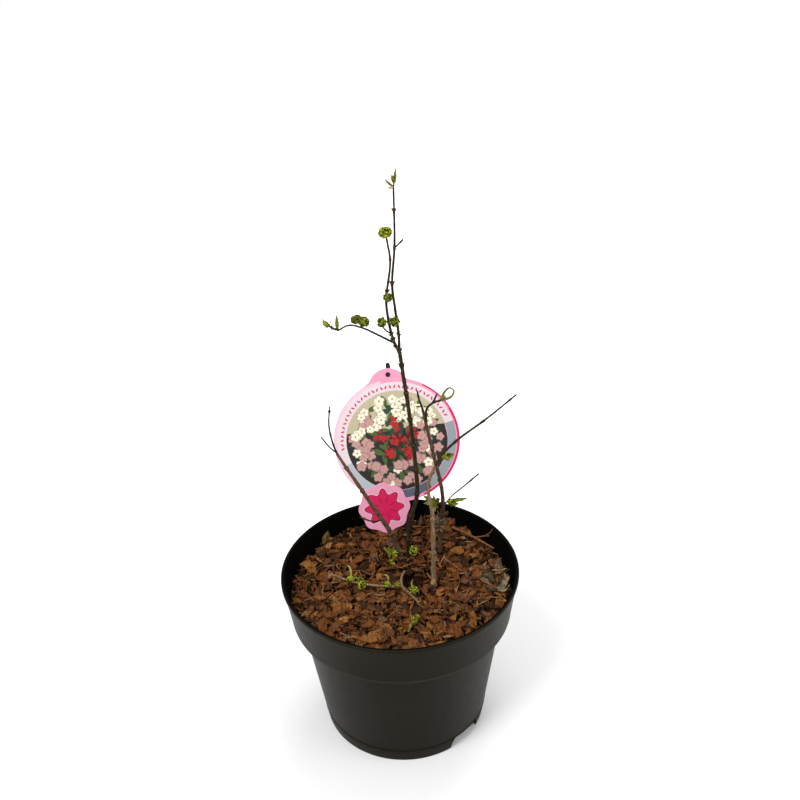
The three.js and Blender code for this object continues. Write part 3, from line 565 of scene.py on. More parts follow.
def bark_relief(rng, nodes):
    """Scales a stem's radius: shallow ridges along it, small swellings, and a ring at each node."""
    phases = rng.uniform(0, 2 * math.pi, 6)
    warts = rng.uniform(0, 1, (WARTS.count, 2)) * (WARTS.reach, 2 * math.pi)

    def relief(s, angles):
        scale = 1 + 0.05 * np.sin(3 * angles + phases[0] + 0.05 * s)
        scale = scale + 0.035 * np.sin(7 * angles + phases[1] + 0.11 * s)
        scale = scale + 0.03 * math.sin(0.9 * s + phases[2]) + 0.03 * math.sin(0.37 * s + phases[3])
        for node in nodes:
            scale = scale + NODE.swelling * math.exp(-(((s - node) / NODE.length) ** 2))
            scale = scale - NODE.scar * math.exp(-(((s - node - NODE.scar_above) / NODE.scar_length) ** 2))
        for wart in warts[np.abs(warts[:, 0] - s) < 2 * WARTS.length]:
            apart = (angles - wart[1] + math.pi) % (2 * math.pi) - math.pi
            away = (apart / WARTS.angle) ** 2 + ((wart[0] - s) / WARTS.length) ** 2
            scale = scale + WARTS.swelling * np.exp(-away)
        return scale

    return relief


def add_whorl(heap, path, radius, whorl, rng):
    """Dry scales round a stem."""
    along = path.tangent(whorl.at)
    aside = unit(np.cross(along, (0.2, 0.9, 0.1)))
    for i in range(whorl.count):
        out = turned_about(aside, along, 2 * math.pi * (i + rng.uniform(-0.3, 0.3)) / whorl.count)
        way = leant(along, out, whorl.lean * rng.uniform(0.6, 1.3))
        seat = path.at(whorl.at) + out * 0.8 * radius + along * rng.uniform(-1.2, 1.2)
        length, wide = np.array(whorl.size) * rng.uniform(0.8, 1.15)
        tint = whorl.tint or ("bud_scale" if rng.uniform() < 0.7 else "bud_green")
        add_bud(heap, seat, way, length, wide, tint)


def make_limb(name, size, rng):
    path = Path(size["through"], size.get("ground"))
    pairs = int(path.length // NODE_SPACING)
    nodes = [i / (pairs + 0.6) for i in range(1, pairs + 1)]
    heap = Heap()
    relief = bark_relief(rng, [share * path.length for share in nodes])
    foot, tip = size["radii"]

    def radius_at(share):
        flare = ROOT_FLARE.amount * math.exp(-share * path.length / ROOT_FLARE.height)
        return (foot + (tip - foot) * share) * (1 + (flare if size.get("ground") else 0))

    add_tube(heap, path, radius_at, size["bark"], relief, sides=18, step=0.7)
    if name != "fallen_twig":
        add_bud_pairs(heap, path, nodes, radius_at, BUD, rng)
    for whorl in WHORLS:
        if whorl.limb == name:
            add_whorl(heap, path, radius_at(whorl.at), whorl, rng)
    made = heap.piece(name + "_bark")
    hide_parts(name)
    return made


# ---- leaves


def add_leaf(heap, spine, side, width, material, rng, fold, pleats, rows=12, cols=9):
    """One leaf: a blade round a spine of points, V-folded on the midrib and pleated along its veins."""
    shares = np.linspace(0, 1, rows)
    along = np.linspace(0, 1, len(spine))
    centres = np.stack([np.interp(shares, along, spine[:, k]) for k in range(3)], axis=1)
    tangents = np.gradient(centres, axis=0)
    tangents /= np.linalg.norm(tangents, axis=1)[:, None] + 1e-9
    half = 0.5 * width * np.sin(math.pi * np.clip(shares, 0.03, 0.985) ** 0.85) ** 0.75
    v = np.linspace(-1, 1, cols)
    points = []
    for i in range(rows):
        across = unit(side - tangents[i] * np.dot(side, tangents[i]))
        normal = np.cross(tangents[i], across)
        tooth = 1 + LEAF.tooth * math.cos(math.pi * i)
        vein = np.sin(2 * math.pi * (pleats * shares[i] - LEAF.slant * np.abs(v)))
        pleat = LEAF.pleat * width * vein * np.abs(v) ** 0.6 * (1 - shares[i] ** 4)
        lift = fold * np.abs(v) * half[i] + pleat + rng.uniform(-LEAF.uneven, LEAF.uneven, cols) * width
        points.append(centres[i] + np.outer(v * half[i] * tooth, across) + np.outer(lift, normal))
    heap.add(np.vstack(points), ring_faces(rows, cols, closed=False), material)


def bent_spine(base, start, end, length):
    """A spine that leaves along start and bends to end, as the solids' blades do."""
    middle = base + start * 0.5 * length
    return curve(base, middle, middle + end * 0.5 * length)


def dealt(tint, rng):
    names, shares = zip(*TINTS[tint])
    return names[rng.choice(len(names), p=shares)]


def add_ball(heap, base, ball, rng):
    """Young leaves curled round each other in a knobbly rosette, with their tips rolled outwards."""
    facing = unit(ball.to)
    radius, stalk = 0.4 * ball.size, ball.stalk
    if stalk:
        middle = base + facing * 0.5 * stalk + (0, 0, 0.3)
        stem = Path([base, middle, base + facing * (stalk + 0.4 * radius)])
        add_tube(heap, stem, lambda t: 0.55 + 0.35 * t, "sprout_stalk", sides=9, step=0.5)
    centre = base + facing * (stalk + radius)
    foot = centre - facing * radius
    facing = unit(ball.face or facing)
    side = unit(np.cross(facing, AWRY))
    for layer, (leaves, reach, opening) in enumerate(BALL_LAYERS):
        for i in range(leaves):
            lean = unit(facing + rng.normal(0, 0.17, 3))
            turn = 2 * math.pi * (i + 0.5 * layer + rng.uniform(-0.25, 0.25)) / leaves
            out = turned_about(side, facing, turn)
            out = unit(out - lean * np.dot(out, lean))
            bulge = radius * reach * rng.uniform(0.8, 1.16)
            tall = radius * ball.tall * rng.uniform(0.86, 1.1)
            angles = np.radians(np.linspace(162, opening * rng.uniform(0.6, 1.15), 10))[:, None]
            sine, cosine = np.sin(angles), np.cos(angles)
            spine = centre + out * bulge * sine * (1 + 0.22 * cosine) + lean * tall * cosine
            lip = spine[-1] + out * 0.2 * radius + lean * 0.08 * radius
            spine = np.vstack([foot, spine, lip, lip + out * 0.2 * radius - lean * 0.12 * radius])
            width = radius * rng.uniform(1.15, 1.5)
            tint = dealt(ball.tint, rng)
            add_leaf(heap, spine, np.cross(lean, out), width, tint, rng, fold=-0.3, pleats=4.5)


def add_tuft(heap, base, tuft, rng):
    """Leaves in opposite pairs, each pair turned on from the last, folded and pleated."""
    facing = unit(tuft.to)
    side = unit(np.cross(facing, AWRY))
    for pair in range(tuft.pairs):
        turn = math.pi * pair / tuft.pairs + 0.5 * (rng.uniform() - 0.5)
        for half in (0, math.pi):
            out = turned_about(side, facing, turn + half)
            spread = math.radians(tuft.spread * rng.uniform(0.6, 1.15))
            length = tuft.size * rng.uniform(0.72, 1.05)
            start = facing * math.cos(spread) + out * math.sin(spread)
            end = unit(facing * math.cos(spread) + out * math.sin(spread) * rng.uniform(-0.4, 1.2))
            spine = bent_spine(base, start, end, length)
            tint = dealt(tuft.tint, rng)
            width = tuft.slim * length
            add_leaf(heap, spine, np.cross(facing, out), width, tint, rng, fold=0.55, pleats=6)


def add_blade(heap, base, blade, rng):
    """A narrow folded leaf that stands nearly straight."""
    way = unit(blade.to)
    bend = unit(way + rng.uniform(-0.12, 0.12, 3))
    spine = bent_spine(base, way, bend, blade.length)
    across = unit(np.cross(way, (0.2, 1, 0.1)))
    add_leaf(heap, spine, across, blade.width, blade.tint, rng, fold=0.5, pleats=3, cols=7)


def add_horn(heap, base, horn, rng):
    """A thin bract curled like a horn."""
    middle, tip = np.array(horn.middle, float), np.array(horn.tip, float)
    spine = curve(base, 2 * middle - 0.5 * (base + tip), tip)
    across = unit(np.cross(tip - base, (0.1, -1, 0.3)))
    add_leaf(heap, spine, across, horn.width, "leaf_straw", rng, fold=0.4, pleats=1, rows=14, cols=5)


GROW = {Ball: add_ball, Tuft: add_tuft, Blade: add_blade, Horn: add_horn}


# ---- masses


def make_masses(rng):
    """Twigs and leaves of all masses, each kind joined into one piece."""
    wood, leaves = Heap(), Heap()
    for size in MASSES.values():
        path = Path(size["stem"], size.get("ground"))
        first, last = size["radii"]
        bark = size.get("bark", "bark_dark")
        count = size.get("buds", 0)
        nodes = [i / (count + 0.25) for i in range(1, count + 1)]
        relief = bark_relief(rng, [share * path.length for share in nodes])
        add_tube(wood, path, lambda t: first + (last - first) * t, bark, relief)
        add_bud_pairs(wood, path, nodes, lambda t: last, MASS_BUD, rng)
        for twig in size.get("twigs", ()):
            start, tip = path.at(twig["start"]), np.array(twig["tip"], float)
            bend = 0.5 * (start + tip) - (0, 0, 0.06 * np.linalg.norm(tip - start))
            side, thick = Path([start, bend, tip]), twig["radius"]
            add_tube(wood, side, lambda t: thick * (1 - 0.2 * t), bark, bark_relief(rng, []), sides=10)
            for share in twig.get("scales", ()):
                add_whorl(wood, side, thick, Whorl(None, share, 3, (2.2, 0.6), 34), rng)
            way = side.tangent(1)
            add_bud(wood, tip - way * 0.6, way, MASS_BUD.length, thick * 1.15, "bud_scale")
            if "tip_tuft" in size:
                add_tuft(leaves, tip, size["tip_tuft"]._replace(to=way), rng)
        if "hoop" in size:
            hoop = Path([path.at(1), *size["hoop"], path.at(1)])
            add_tube(leaves, hoop, hoop_radius, "hoop_green", flattened, step=0.5)
        for leaf in size.get("leaves", ()):
            GROW[type(leaf)](leaves, path.at(leaf.at), leaf, rng)
    twigs_piece, leaves_piece = wood.piece("twigs"), leaves.piece("opening_leaves")
    for made in (twigs_piece, leaves_piece):
        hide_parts(*MASSES)
    return [twigs_piece, leaves_piece]


# ---- pot


def arc_corner(before, corner, after, radius):
    """Points of a rounded corner between two straight runs of a profile."""
    a, b = unit(np.subtract(before, corner)), unit(np.subtract(after, corner))
    half = 0.5 * math.acos(np.clip(np.dot(a, b), -1, 1))
    reach = min(radius / math.tan(half), 0.45 * math.dist(before, corner), 0.45 * math.dist(after, corner))
    return curve(np.array(corner) + a * reach, corner, np.array(corner) + b * reach, steps=5)


def inner_radius(z):
    collar_foot = POT.height - POT.collar_height
    if z < collar_foot:
        return POT.foot_radius + (POT.wall_top - POT.foot_radius) * z / collar_foot - POT.wall
    share = (z - collar_foot) / POT.collar_height
    return POT.collar_foot + (POT.collar_top - POT.collar_foot) * share - POT.wall


def collar_radius(height):
    """Outer radius of the collar at a height above its foot."""
    rise = POT.collar_height - POT.lip_height - POT.collar_step - 0.6
    return POT.collar_foot + (POT.collar_top - POT.collar_foot) * (height - POT.collar_step) / rise


def pot_profile():
    """Corners of the pot's section, each with its rounding, from the underside's middle and round."""
    top, lip = POT.height, POT.lip_height
    collar_foot = top - POT.collar_height
    ceiling = POT.channel_height + POT.floor
    ring = POT.ring_line
    bead, half = POT.bead_height, 0.5 * POT.bead_width
    ring_radius = POT.foot_radius + (POT.wall_top - POT.foot_radius) * ring / collar_foot
    return [
        ((0, 0), 0),
        ((POT.pad_radius, 0), 0.8),
        ((POT.pad_radius + POT.bevel, POT.channel_height), 0.8),
        ((POT.channel_outer - POT.bevel, POT.channel_height), 0.8),
        ((POT.channel_outer, 0), 0.6),
        ((POT.foot_radius, 0), 0.9),
        ((ring_radius + 0.15, ring - 0.7), 0.2),
        ((ring_radius - POT.ring_depth, ring), 0.2),
        ((ring_radius + 0.1, ring + 0.8), 0.3),
        ((POT.wall_top, collar_foot), 0.5),
        ((POT.collar_foot, collar_foot + POT.collar_step), 0.7),
        ((collar_radius(bead - half), collar_foot + bead - half), 0.1),
        ((collar_radius(bead) + POT.bead_depth, collar_foot + bead), 0.2),
        ((collar_radius(bead + half), collar_foot + bead + half), 0.1),
        ((POT.collar_top, top - lip - 0.6), 0.4),
        ((POT.rim_radius, top - lip), 0.3),
        ((POT.rim_radius, top), 0.9),
        ((POT.rim_radius - POT.lip_width, top), 0.9),
        ((inner_radius(top - lip), top - lip), 0.5),
        ((inner_radius(collar_foot + POT.wall), collar_foot + POT.wall), 0.5),
        ((inner_radius(collar_foot - 0.1), collar_foot - 0.1), 0.5),
        ((inner_radius(ceiling), ceiling), 0.5),
        ((POT.pad_radius, ceiling), 0.5),
        ((POT.pad_radius - POT.bevel, POT.floor), 0.5),
        ((0, POT.floor), 0),
    ]


def lathe(profile, around, finish_at, name):
    """A closed solid of revolution; finish_at gives the place in POT_FINISHES for the middle of a face."""
    angles = full_turn(around)
    body = profile[1:-1]
    rows = [np.column_stack([r * np.cos(angles), r * np.sin(angles), np.full(around, z)]) for r, z in body]
    heap = Heap()
    points = np.vstack([*rows, (0, 0, profile[0][1]), (0, 0, profile[-1][1])])
    faces = capped_faces(len(rows), around)
    heap.add(points, faces, "pot_outside")
    heap.materials = list(POT_FINISHES)
    heap.slots = [finish_at(np.mean(points[face], axis=0)) for face in faces]
    return heap.piece(name)


def prism(outline, low, high, frame_of=None):
    """Points and faces of an outline, [x, z], made solid between two y; frame_of moves the points."""
    n = len(outline)
    front = [(x, low, z) for x, z in outline]
    back = [(x, high, z) for x, z in outline]
    faces = [list(range(n)), list(range(2 * n - 1, n - 1, -1))]
    faces += [[(i + 1) % n, i, n + i, n + (i + 1) % n] for i in range(n)]
    points = np.array(front + back, float)
    return (frame_of(points) if frame_of else points), faces


def cut(target, points, faces):
    """Cuts a closed shape out of a piece, and drops the cutter."""
    tool = Heap()
    tool.add(points, faces, "pot_outside")
    cutter = tool.piece("cutter", smooth=False)
    modifier = target.modifiers.new("cut", "BOOLEAN")
    modifier.operation, modifier.solver, modifier.object = "DIFFERENCE", "EXACT", cutter
    bpy.context.view_layer.objects.active = target
    bpy.context.view_layer.update()
    applied = bpy.data.meshes.new_from_object(target.evaluated_get(bpy.context.evaluated_depsgraph_get()))
    target.modifiers.clear()
    old, target.data = target.data, applied
    bpy.data.meshes.remove(old)
    bpy.data.objects.remove(cutter)


def turned_z(angle):
    turn = np.array(rotation(angle, "Z"))
    return lambda points: points @ turn.T


def make_pot():
    corners = pot_profile()
    profile = [corners[0][0]]
    for i in range(1, len(corners) - 1):
        corner, radius = corners[i]
        profile += arc_corner(corners[i - 1][0], corner, corners[i + 1][0], radius).tolist()
    profile.append(corners[-1][0])
    bead = POT.height - POT.collar_height + POT.bead_height

    def finish_at(middle):
        radius, z = math.hypot(middle[0], middle[1]), middle[2]
        # The inside wall and the rim's top take the pot's plastic painted darker, as painted shade.
        on_top = z > POT.height - 0.5 and radius < POT.rim_radius - 0.8
        if on_top or POT.floor <= z < POT.height and radius < inner_radius(z) + 0.5 * POT.wall:
            return POT_FINISHES.index("pot_shaded_inside")
        # The bead's band takes the pot's plastic painted lighter: a painted highlight along the collar's
        # foot.
        on_bead = bead < z < bead + 0.5 * POT.bead_width
        return POT_FINISHES.index("pot_bead_highlight" if on_bead else "pot_outside")

    pot = lathe(profile, POT.sides, finish_at, "pot_shell")
    low, high = NOTCH.width / 2, NOTCH.top_width / 2
    half = [(low + 1, -1), (low, 0.4), (high + 0.9, NOTCH.height - 1.4), (high - 0.6, NOTCH.height)]
    arch = [(-low - 1, -1), *half, *((-x, z) for x, z in half[:0:-1])]
    for azimuth in NOTCH.azimuths:
        reach = (POT.channel_outer - 2 * POT.bevel, POT.foot_radius + NOTCH.past_foot)
        cut(pot, *prism(arch, *reach, turned_z(azimuth - 90)))
    for i in range(DRAIN.count):
        angle = 360 * (i + 0.5) / DRAIN.count
        ring, level = round_outline(0, 0, DRAIN.radius, DRAIN.sides), POT.channel_height
        points, faces = prism(ring, level - DRAIN.cut_below, level + DRAIN.cut_above)
        points = np.column_stack([points[:, 0] + DRAIN.circle_radius, points[:, 2], points[:, 1]])
        cut(pot, turned_z(angle)(points), [face[::-1] for face in faces])
    pot.data.polygons.foreach_set("use_smooth", [True] * len(pot.data.polygons))
    pot.data.set_sharp_from_angle(angle=math.radians(SHARP.pot))
    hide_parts("pot")
    return pot


# ---- bark mulch


def mulch_level(x, y):
    away = math.dist((x, y), HOLLOW.at) / HOLLOW.radius
    return ground_level(x, y) - HOLLOW.depth * math.exp(-away ** 4)


def make_bed(rng):
    """The dark bed that shows between the chips: deeper mulch, painted dark as the shade in the gaps."""
    rings, around = MULCH.bed_rings, MULCH.bed_sides
    edge = inner_radius(MULCH.edge - MULCH.bed_depth) - MULCH.clear
    points, faces = [], ring_faces(rings, around)
    for ring in range(rings):
        radius = edge * (ring + 0.02) / (rings - 1 + 0.02)
        for angle in full_turn(around):
            x, y = ray(radius, angle)
            level = mulch_level(x, y) - MULCH.bed_depth
            points.append((x, y, level + rng.uniform(-MULCH.bed_uneven, MULCH.bed_uneven)))
    heap = Heap()
    heap.add(points, faces, "mulch_bed")
    made = heap.piece("mulch_bed")
    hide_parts("bark_mulch")
    return made


def chip_shape(rng, length, width, thick):
    """An angular flake: an uneven polygon with a chipped, slightly domed top."""
    corners = int(rng.integers(4, 8))
    angles = (np.arange(corners) + rng.uniform(-0.32, 0.32, corners)) * 2 * math.pi / corners
    reach = rng.uniform(0.74, 1.12, corners)
    squarer = 1 / np.maximum(np.abs(np.cos(angles)), np.abs(np.sin(angles))) ** 0.6
    x = 0.5 * length * np.cos(angles) * reach * squarer
    y = 0.5 * width * np.sin(angles) * reach * squarer
    y = y + rng.uniform(-0.35, 0.35) * x * width / length
    top_z = 0.5 * thick * rng.uniform(0.75, 1.2, corners)
    low_z = -0.5 * thick * rng.uniform(0.5, 1.25, corners)
    bevel = rng.uniform(0.86, 0.98)
    bow = rng.uniform(-0.12, 0.12) * (x / length * 2) ** 2 * length * 0.5
    top = np.column_stack([x * bevel, y * bevel, top_z + bow])
    rim = np.column_stack([x, y, top_z * rng.uniform(-0.3, 0.4) + bow])
    low = np.column_stack([x * 0.88, y * 0.88, low_z + bow])
    crown = [(rng.uniform(-0.14, 0.14) * length, rng.uniform(-0.14, 0.14) * width, 0.5 * thick)]
    points = np.vstack([top, rim, low, crown])
    faces = [[3 * corners, i, (i + 1) % corners] for i in range(corners)]
    faces += [[j, i, n, m] for i, j, m, n in ring_faces(3, corners)]
    faces.append([2 * corners + i for i in reversed(range(corners))])
    return points, faces


def turned_chip(rng, points, tilt):
    """Points of a chip at any azimuth, and tilted by about so many degrees."""
    spin = Matrix.Rotation(rng.uniform(0, 2 * math.pi), 3, "Z")
    lean = rotation(rng.normal(0, tilt), "X")
    nod = rotation(rng.normal(0, tilt * 0.6), "Y")
    return points @ np.array(spin @ lean @ nod).T


def stem_feet():
    """Where stems and sprouts come out of the mulch: x, y and radius."""
    standing = [size for size in (*LIMBS.values(), *MASSES.values()) if size.get("ground")]
    return [(*(size.get("through") or size["stem"])[0][:2], size["radii"][0]) for size in standing]


def label_foot_clear(x, y):
    """Whether a point is clear of the label's badge and stick."""
    left, right, aside = LABEL.clear
    return not (left < x - LABEL.foot[0] < right and abs(y - LABEL.foot[1]) < aside)


def make_chips(rng):
    names = list(CHIP_TINTS)
    shares = np.array([CHIP_TINTS[name][1] for name in names], float)
    shares /= shares.sum()
    heap = Heap()
    feet = stem_feet()
    for layer in CHIPS:
        splinters = layer.slim[1] < 0.1
        laid, tries = [], 0
        while len(laid) < layer.count and tries < 30 * layer.count:
            tries += 1
            length = rng.uniform(*layer.length)
            width = length * rng.uniform(*layer.slim)
            reach = inner_radius(MULCH.edge) - CHIP_ROOM.wall * length - 0.5
            x, y = ray(reach * math.sqrt(rng.uniform()), rng.uniform(0, 2 * math.pi))
            on_foot = any(math.dist((x, y), foot[:2]) < foot[2] + CHIP_ROOM.stem * length for foot in feet)
            if on_foot or not label_foot_clear(x, y):
                continue
            finer = y > FINER.front and x < FINER.right
            wanted = length <= FINER.longest if finer else layer.slim[1] > FINER.thin or splinters
            if not wanted and rng.uniform() < FINER.dropped:
                continue
            from_hollow = math.dist((x, y), HOLLOW.at)
            in_hollow = from_hollow < HOLLOW.dark * HOLLOW.radius
            over_hollow = from_hollow < HOLLOW.few * HOLLOW.radius + CHIP_ROOM.hollow * length
            if over_hollow and (length > CHIP_ROOM.near_hollow or rng.uniform() < 0.5):
                continue
            if length > CHIP_ROOM.large and not splinters:
                near = (math.dist((x, y), other[:2]) / (length + other[2]) for other in laid)
                if any(share < CHIP_ROOM.other for share in near):
                    continue
            points, faces = chip_shape(rng, length, width, rng.uniform(*layer.thick))
            points = turned_chip(rng, points, layer.tilt)
            level = mulch_level(x, y) - rng.uniform(*layer.below)
            points = points + (x, y, level)
            if np.max(np.hypot(points[:, 0], points[:, 1])) > inner_radius(level) - MULCH.clear:
                continue
            tint = SPLINTER_TINT if splinters else names[rng.choice(len(names), p=shares)]
            # Chips in the hollow, and a share of each layer, are painted dark as shade among the chips.
            if in_hollow or rng.uniform() < layer.shaded:
                tint = "chip_dark"
            heap.add(points, faces, tint)
            laid.append((x, y, length))
    made = heap.piece("bark_chips", smooth=False)
    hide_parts("bark_mulch")
    return made


# ---- litter on the mulch

# Crumpled leaves: middle, size, how steeply the pieces stand, and how many there are.
DEAD_LEAVES = [((84, 8, 131.5), 13, 0.9, 4), ((58, 11, 131.5), 10, 0.4, 2)]
# Pieces of dry leaf that curl by themselves: turning points of the midrib, width, fold and finish.
CURLED = [
    ([(77.5, -15.8, 132.6), (82.9, -17.3, 134.6), (88.6, -11.2, 142)], 8, 1.3, "dead_leaf_pale"),
    ([(78.5, -13.6, 132.6), (82.5, -10.4, 137), (84.5, -6, 141.5)], 8, -0.9, "dead_leaf"),
    ([(79.5, -14.6, 133.4), (84.6, -12.5, 136.4), (87.5, -7.5, 141)], 7.5, 0.6, "dead_leaf_brown"),
    ([(77.4, -16.8, 132.3), (83.6, -19.4, 133.2), (88.2, -13.6, 135)], 4, 1.3, "dead_leaf_pale"),
    ([(82.8, 8.6, 132.6), (83, 12.6, 136.4), (81.1, 13.6, 141.6)], 4.4, 0.8, "dead_leaf"),
    ([(76, 7.7, 133.4), (82.3, 5.3, 134), (88.1, 5.6, 136.4)], 2.6, 0.9, "dead_leaf_pale"),
    ([(77.5, 3.5, 132.8), (82, 2.5, 133.8), (86, 4, 134.6)], 3, 1.2, "dead_leaf_brown"),
    ([(66, 3, 132.6), (70.6, -3.4, 136.4), (76.2, -7, 133.2)], 11, 1, "dead_leaf_dark"),
    ([(66.6, 0, 132.6), (68.6, -4.5, 134.4), (72, -9, 133)], 5, 0.7, "dead_leaf"),
    ([(65.9, 0.6, 132.6), (66.3, 1.4, 136.6)], 2.4, 0.7, "dead_leaf_pale"),
    ([(69.2, -10.3, 132.4), (71.8, -15.4, 134), (75.8, -16.9, 132.4)], 6, 0.8, "dead_leaf_dark"),
    ([(-65.4, 55.5, 131), (-62.4, 57, 136), (-60.4, 59.4, 142)], 6, 0.9, "dead_leaf_brown"),
    ([(-66.4, 56.5, 131.6), (-61, 57.5, 134), (-56, 58.5, 135)], 4, 0.9, "dead_leaf_brown"),
]
TWIGLETS = [  # radius and turning points
    (0.6, [(64.6, 49.6, 135.6), (71.7, 48.1, 137.6), (77.8, 46.6, 139)]),
    (0.55, [(74, 47.8, 138.2), (78, 46.5, 142), (80.4, 44.6, 147.6)]),
    (0.8, [(65.6, -3.8, 133.6), (71.6, -10.5, 134), (77.6, -15.6, 133.6)]),
    (0.6, [(40, 24.8, 132), (46, 17, 132.4), (51, 9.9, 131.8)]),
    (0.55, [(-62.7, 2, 132), (-63.4, -6, 132.6), (-62.9, -14, 132)]),
    (0.55, [(-4.8, 23.2, 131), (0.7, 18.4, 131.8), (11, 23.2, 132)]),
    (0.5, [(-9.9, 42.9, 133), (-7, 44, 135), (-4.4, 46, 136.4)]),
    (0.45, [(0.5, 29.3, 131.5), (3.9, 31.7, 132.4), (7, 29, 132)]),
    (0.45, [(6, 27.5, 131.5), (10.7, 29.9, 132.6), (13, 27, 132)]),
]
KNOB = (2.3, [(26.6, -1.2, 129.6), (27.1, -0.8, 131.4), (27.6, -0.2, 132.8)])  # a cut end at a stem's foot
# Chips laid one by one on top of the others: middle, length, width, azimuth and lean in degrees.
LONE_CHIPS = [
    ((4.6, 35.6, 134.6), 12, 8.5, 75, 52),
    ((50, 36, 133), 15, 11, 20, 16),
    ((-78, 28, 132.6), 16, 11, 120, 14),
    ((-66, -16, 132.4), 15, 10, 100, 18),
    ((-26, -66, 132.2), 16, 11, 40, 14),
]


def make_litter(rng):
    """Twiglets, crumpled dead leaves, and chips that lie apart."""
    heap = Heap()
    for radius, turns in TWIGLETS:
        add_tube(heap, Path(turns), lambda t: radius * (1 - 0.3 * t), "dead_wood", sides=8, step=0.8)
    add_tube(heap, Path(KNOB[1]), lambda t: KNOB[0] * (1 - 0.25 * t), "knob_pale", step=0.5)
    for at, size, rise, lobes in DEAD_LEAVES:
        for i in range(lobes):
            angle = 2 * math.pi * (i + rng.uniform(-0.25, 0.25)) / lobes
            start = unit((*ray(1, angle), rise * rng.uniform(0.4, 1.3)))
            end = unit((*ray(1, angle + 0.9), rng.uniform(-0.5, 0.5)))
            spine = bent_spine(np.subtract(at, (0, 0, 1.5)), start, end, size * rng.uniform(0.45, 0.75))
            across = unit(np.cross(start, rng.uniform(-0.6, 0.6, 3) + (0, 0, 1)))
            width = size * rng.uniform(0.2, 0.42)
            fold = rng.choice((-1, 1)) * rng.uniform(0.7, 1.6)
            add_leaf(heap, spine, across, width, "dead_leaf_dark", rng, fold, pleats=2.5, rows=16)
    for turns, width, fold, tint in CURLED:
        spine = Path(turns).at(np.linspace(0, 1, 12))
        across = unit(np.cross(unit(spine[-1] - spine[0]), (0.2, -0.8, 0.5)))
        add_leaf(heap, spine, across, width, tint, rng, fold, pleats=2.5, rows=16)
    for at, length, width, azimuth, lean in LONE_CHIPS:
        points, faces = chip_shape(rng, length, width, 1.8)
        turn = rotation(azimuth, "Z") @ rotation(lean, "Y")
        heap.add(points @ np.array(turn).T + at, faces, "chip_orange")
    made = heap.piece("litter")
    made.data.set_sharp_from_angle(angle=math.radians(SHARP.litter))
    return made


# ---- plant label


def label_frame():
    """Moves points from the label's own frame, with X across and Z up the card, to the row's."""
    turn = np.array(rotation(-LABEL.lean_back, "X") @ rotation(-LABEL.lean_left, "Y"))
    return lambda points: np.asarray(points, float) @ turn.T + LABEL.foot


def polar(x, z, reach, angles):
    return list(zip(x + reach * np.cos(angles), z + reach * np.sin(angles)))


def round_outline(x, z, radius, steps=96):
    return polar(x, z, radius, full_turn(steps))


def lobed_outline(radius, depth):
    """The outline of the badge, or of a print on it."""
    angles = full_turn(96)
    reach = radius - depth * (0.5 - 0.5 * np.cos(BADGE.lobes * angles))
    return polar(BADGE.x, BADGE.z, reach, angles)


def tab_outline():
    """The round tab above the disc, which widens into it through a small hollow on each side."""
    join = math.radians(TAB.join_angle)
    x, z = ray(TAB.radius, join)
    left, right = TAB.x - TAB.half_foot, TAB.x + TAB.half_foot

    def disc_edge(at):
        return DISC.z - 0.5 + math.sqrt(DISC.radius ** 2 - (at - DISC.x) ** 2)

    first = curve((left, disc_edge(left)), (TAB.x - x - 2, TAB.z + z - 2), (TAB.x - x, TAB.z + z), 9)
    last = curve((TAB.x + x, TAB.z + z), (TAB.x + x + 2, TAB.z + z - 2), (right, disc_edge(right)), 9)
    arc = polar(TAB.x, TAB.z, TAB.radius, np.linspace(math.pi - join, join, 34)[1:-1])
    return [*first, *arc, *last]


def flower_outline(x, z, radius, turn):
    """Five round petals."""
    angles = full_turn(40)
    return polar(x, z, radius * (0.62 + 0.38 * np.abs(np.cos(2.5 * (angles - turn))) ** 0.7), angles)


def leaf_outline(x, z, length, width, turn):
    t = np.linspace(0, 1, 10)
    half = 0.5 * width * np.sin(math.pi * t ** 0.8)
    along = np.concatenate([t, t[-2:0:-1]]) * length - 0.5 * length
    aside = np.concatenate([half, -half[-2:0:-1]])
    c, s = math.cos(turn), math.sin(turn)
    return list(zip(x + along * c - aside * s, z + along * s + aside * c))


def band(inner, outer, start, stop):
    """A stretch of ring round the disc's middle, between two azimuths in degrees."""
    angles = np.radians(np.linspace(start, stop, 72))
    return polar(DISC.x, DISC.z, outer, angles) + polar(DISC.x, DISC.z, inner, angles[::-1])


class Card:
    """Thin printed layers on the card's front face, each a little prouder than the last."""

    LAYER = 0.02

    def __init__(self, heap, place):
        self.heap, self.place, self.level = heap, place, 0

    def next(self, steps=1):
        self.level += steps

    def shape(self, outline, material, above=0):
        front = -self.LAYER * (self.level + above)
        self.heap.add(*prism(outline, front, 0.02, self.place), material)


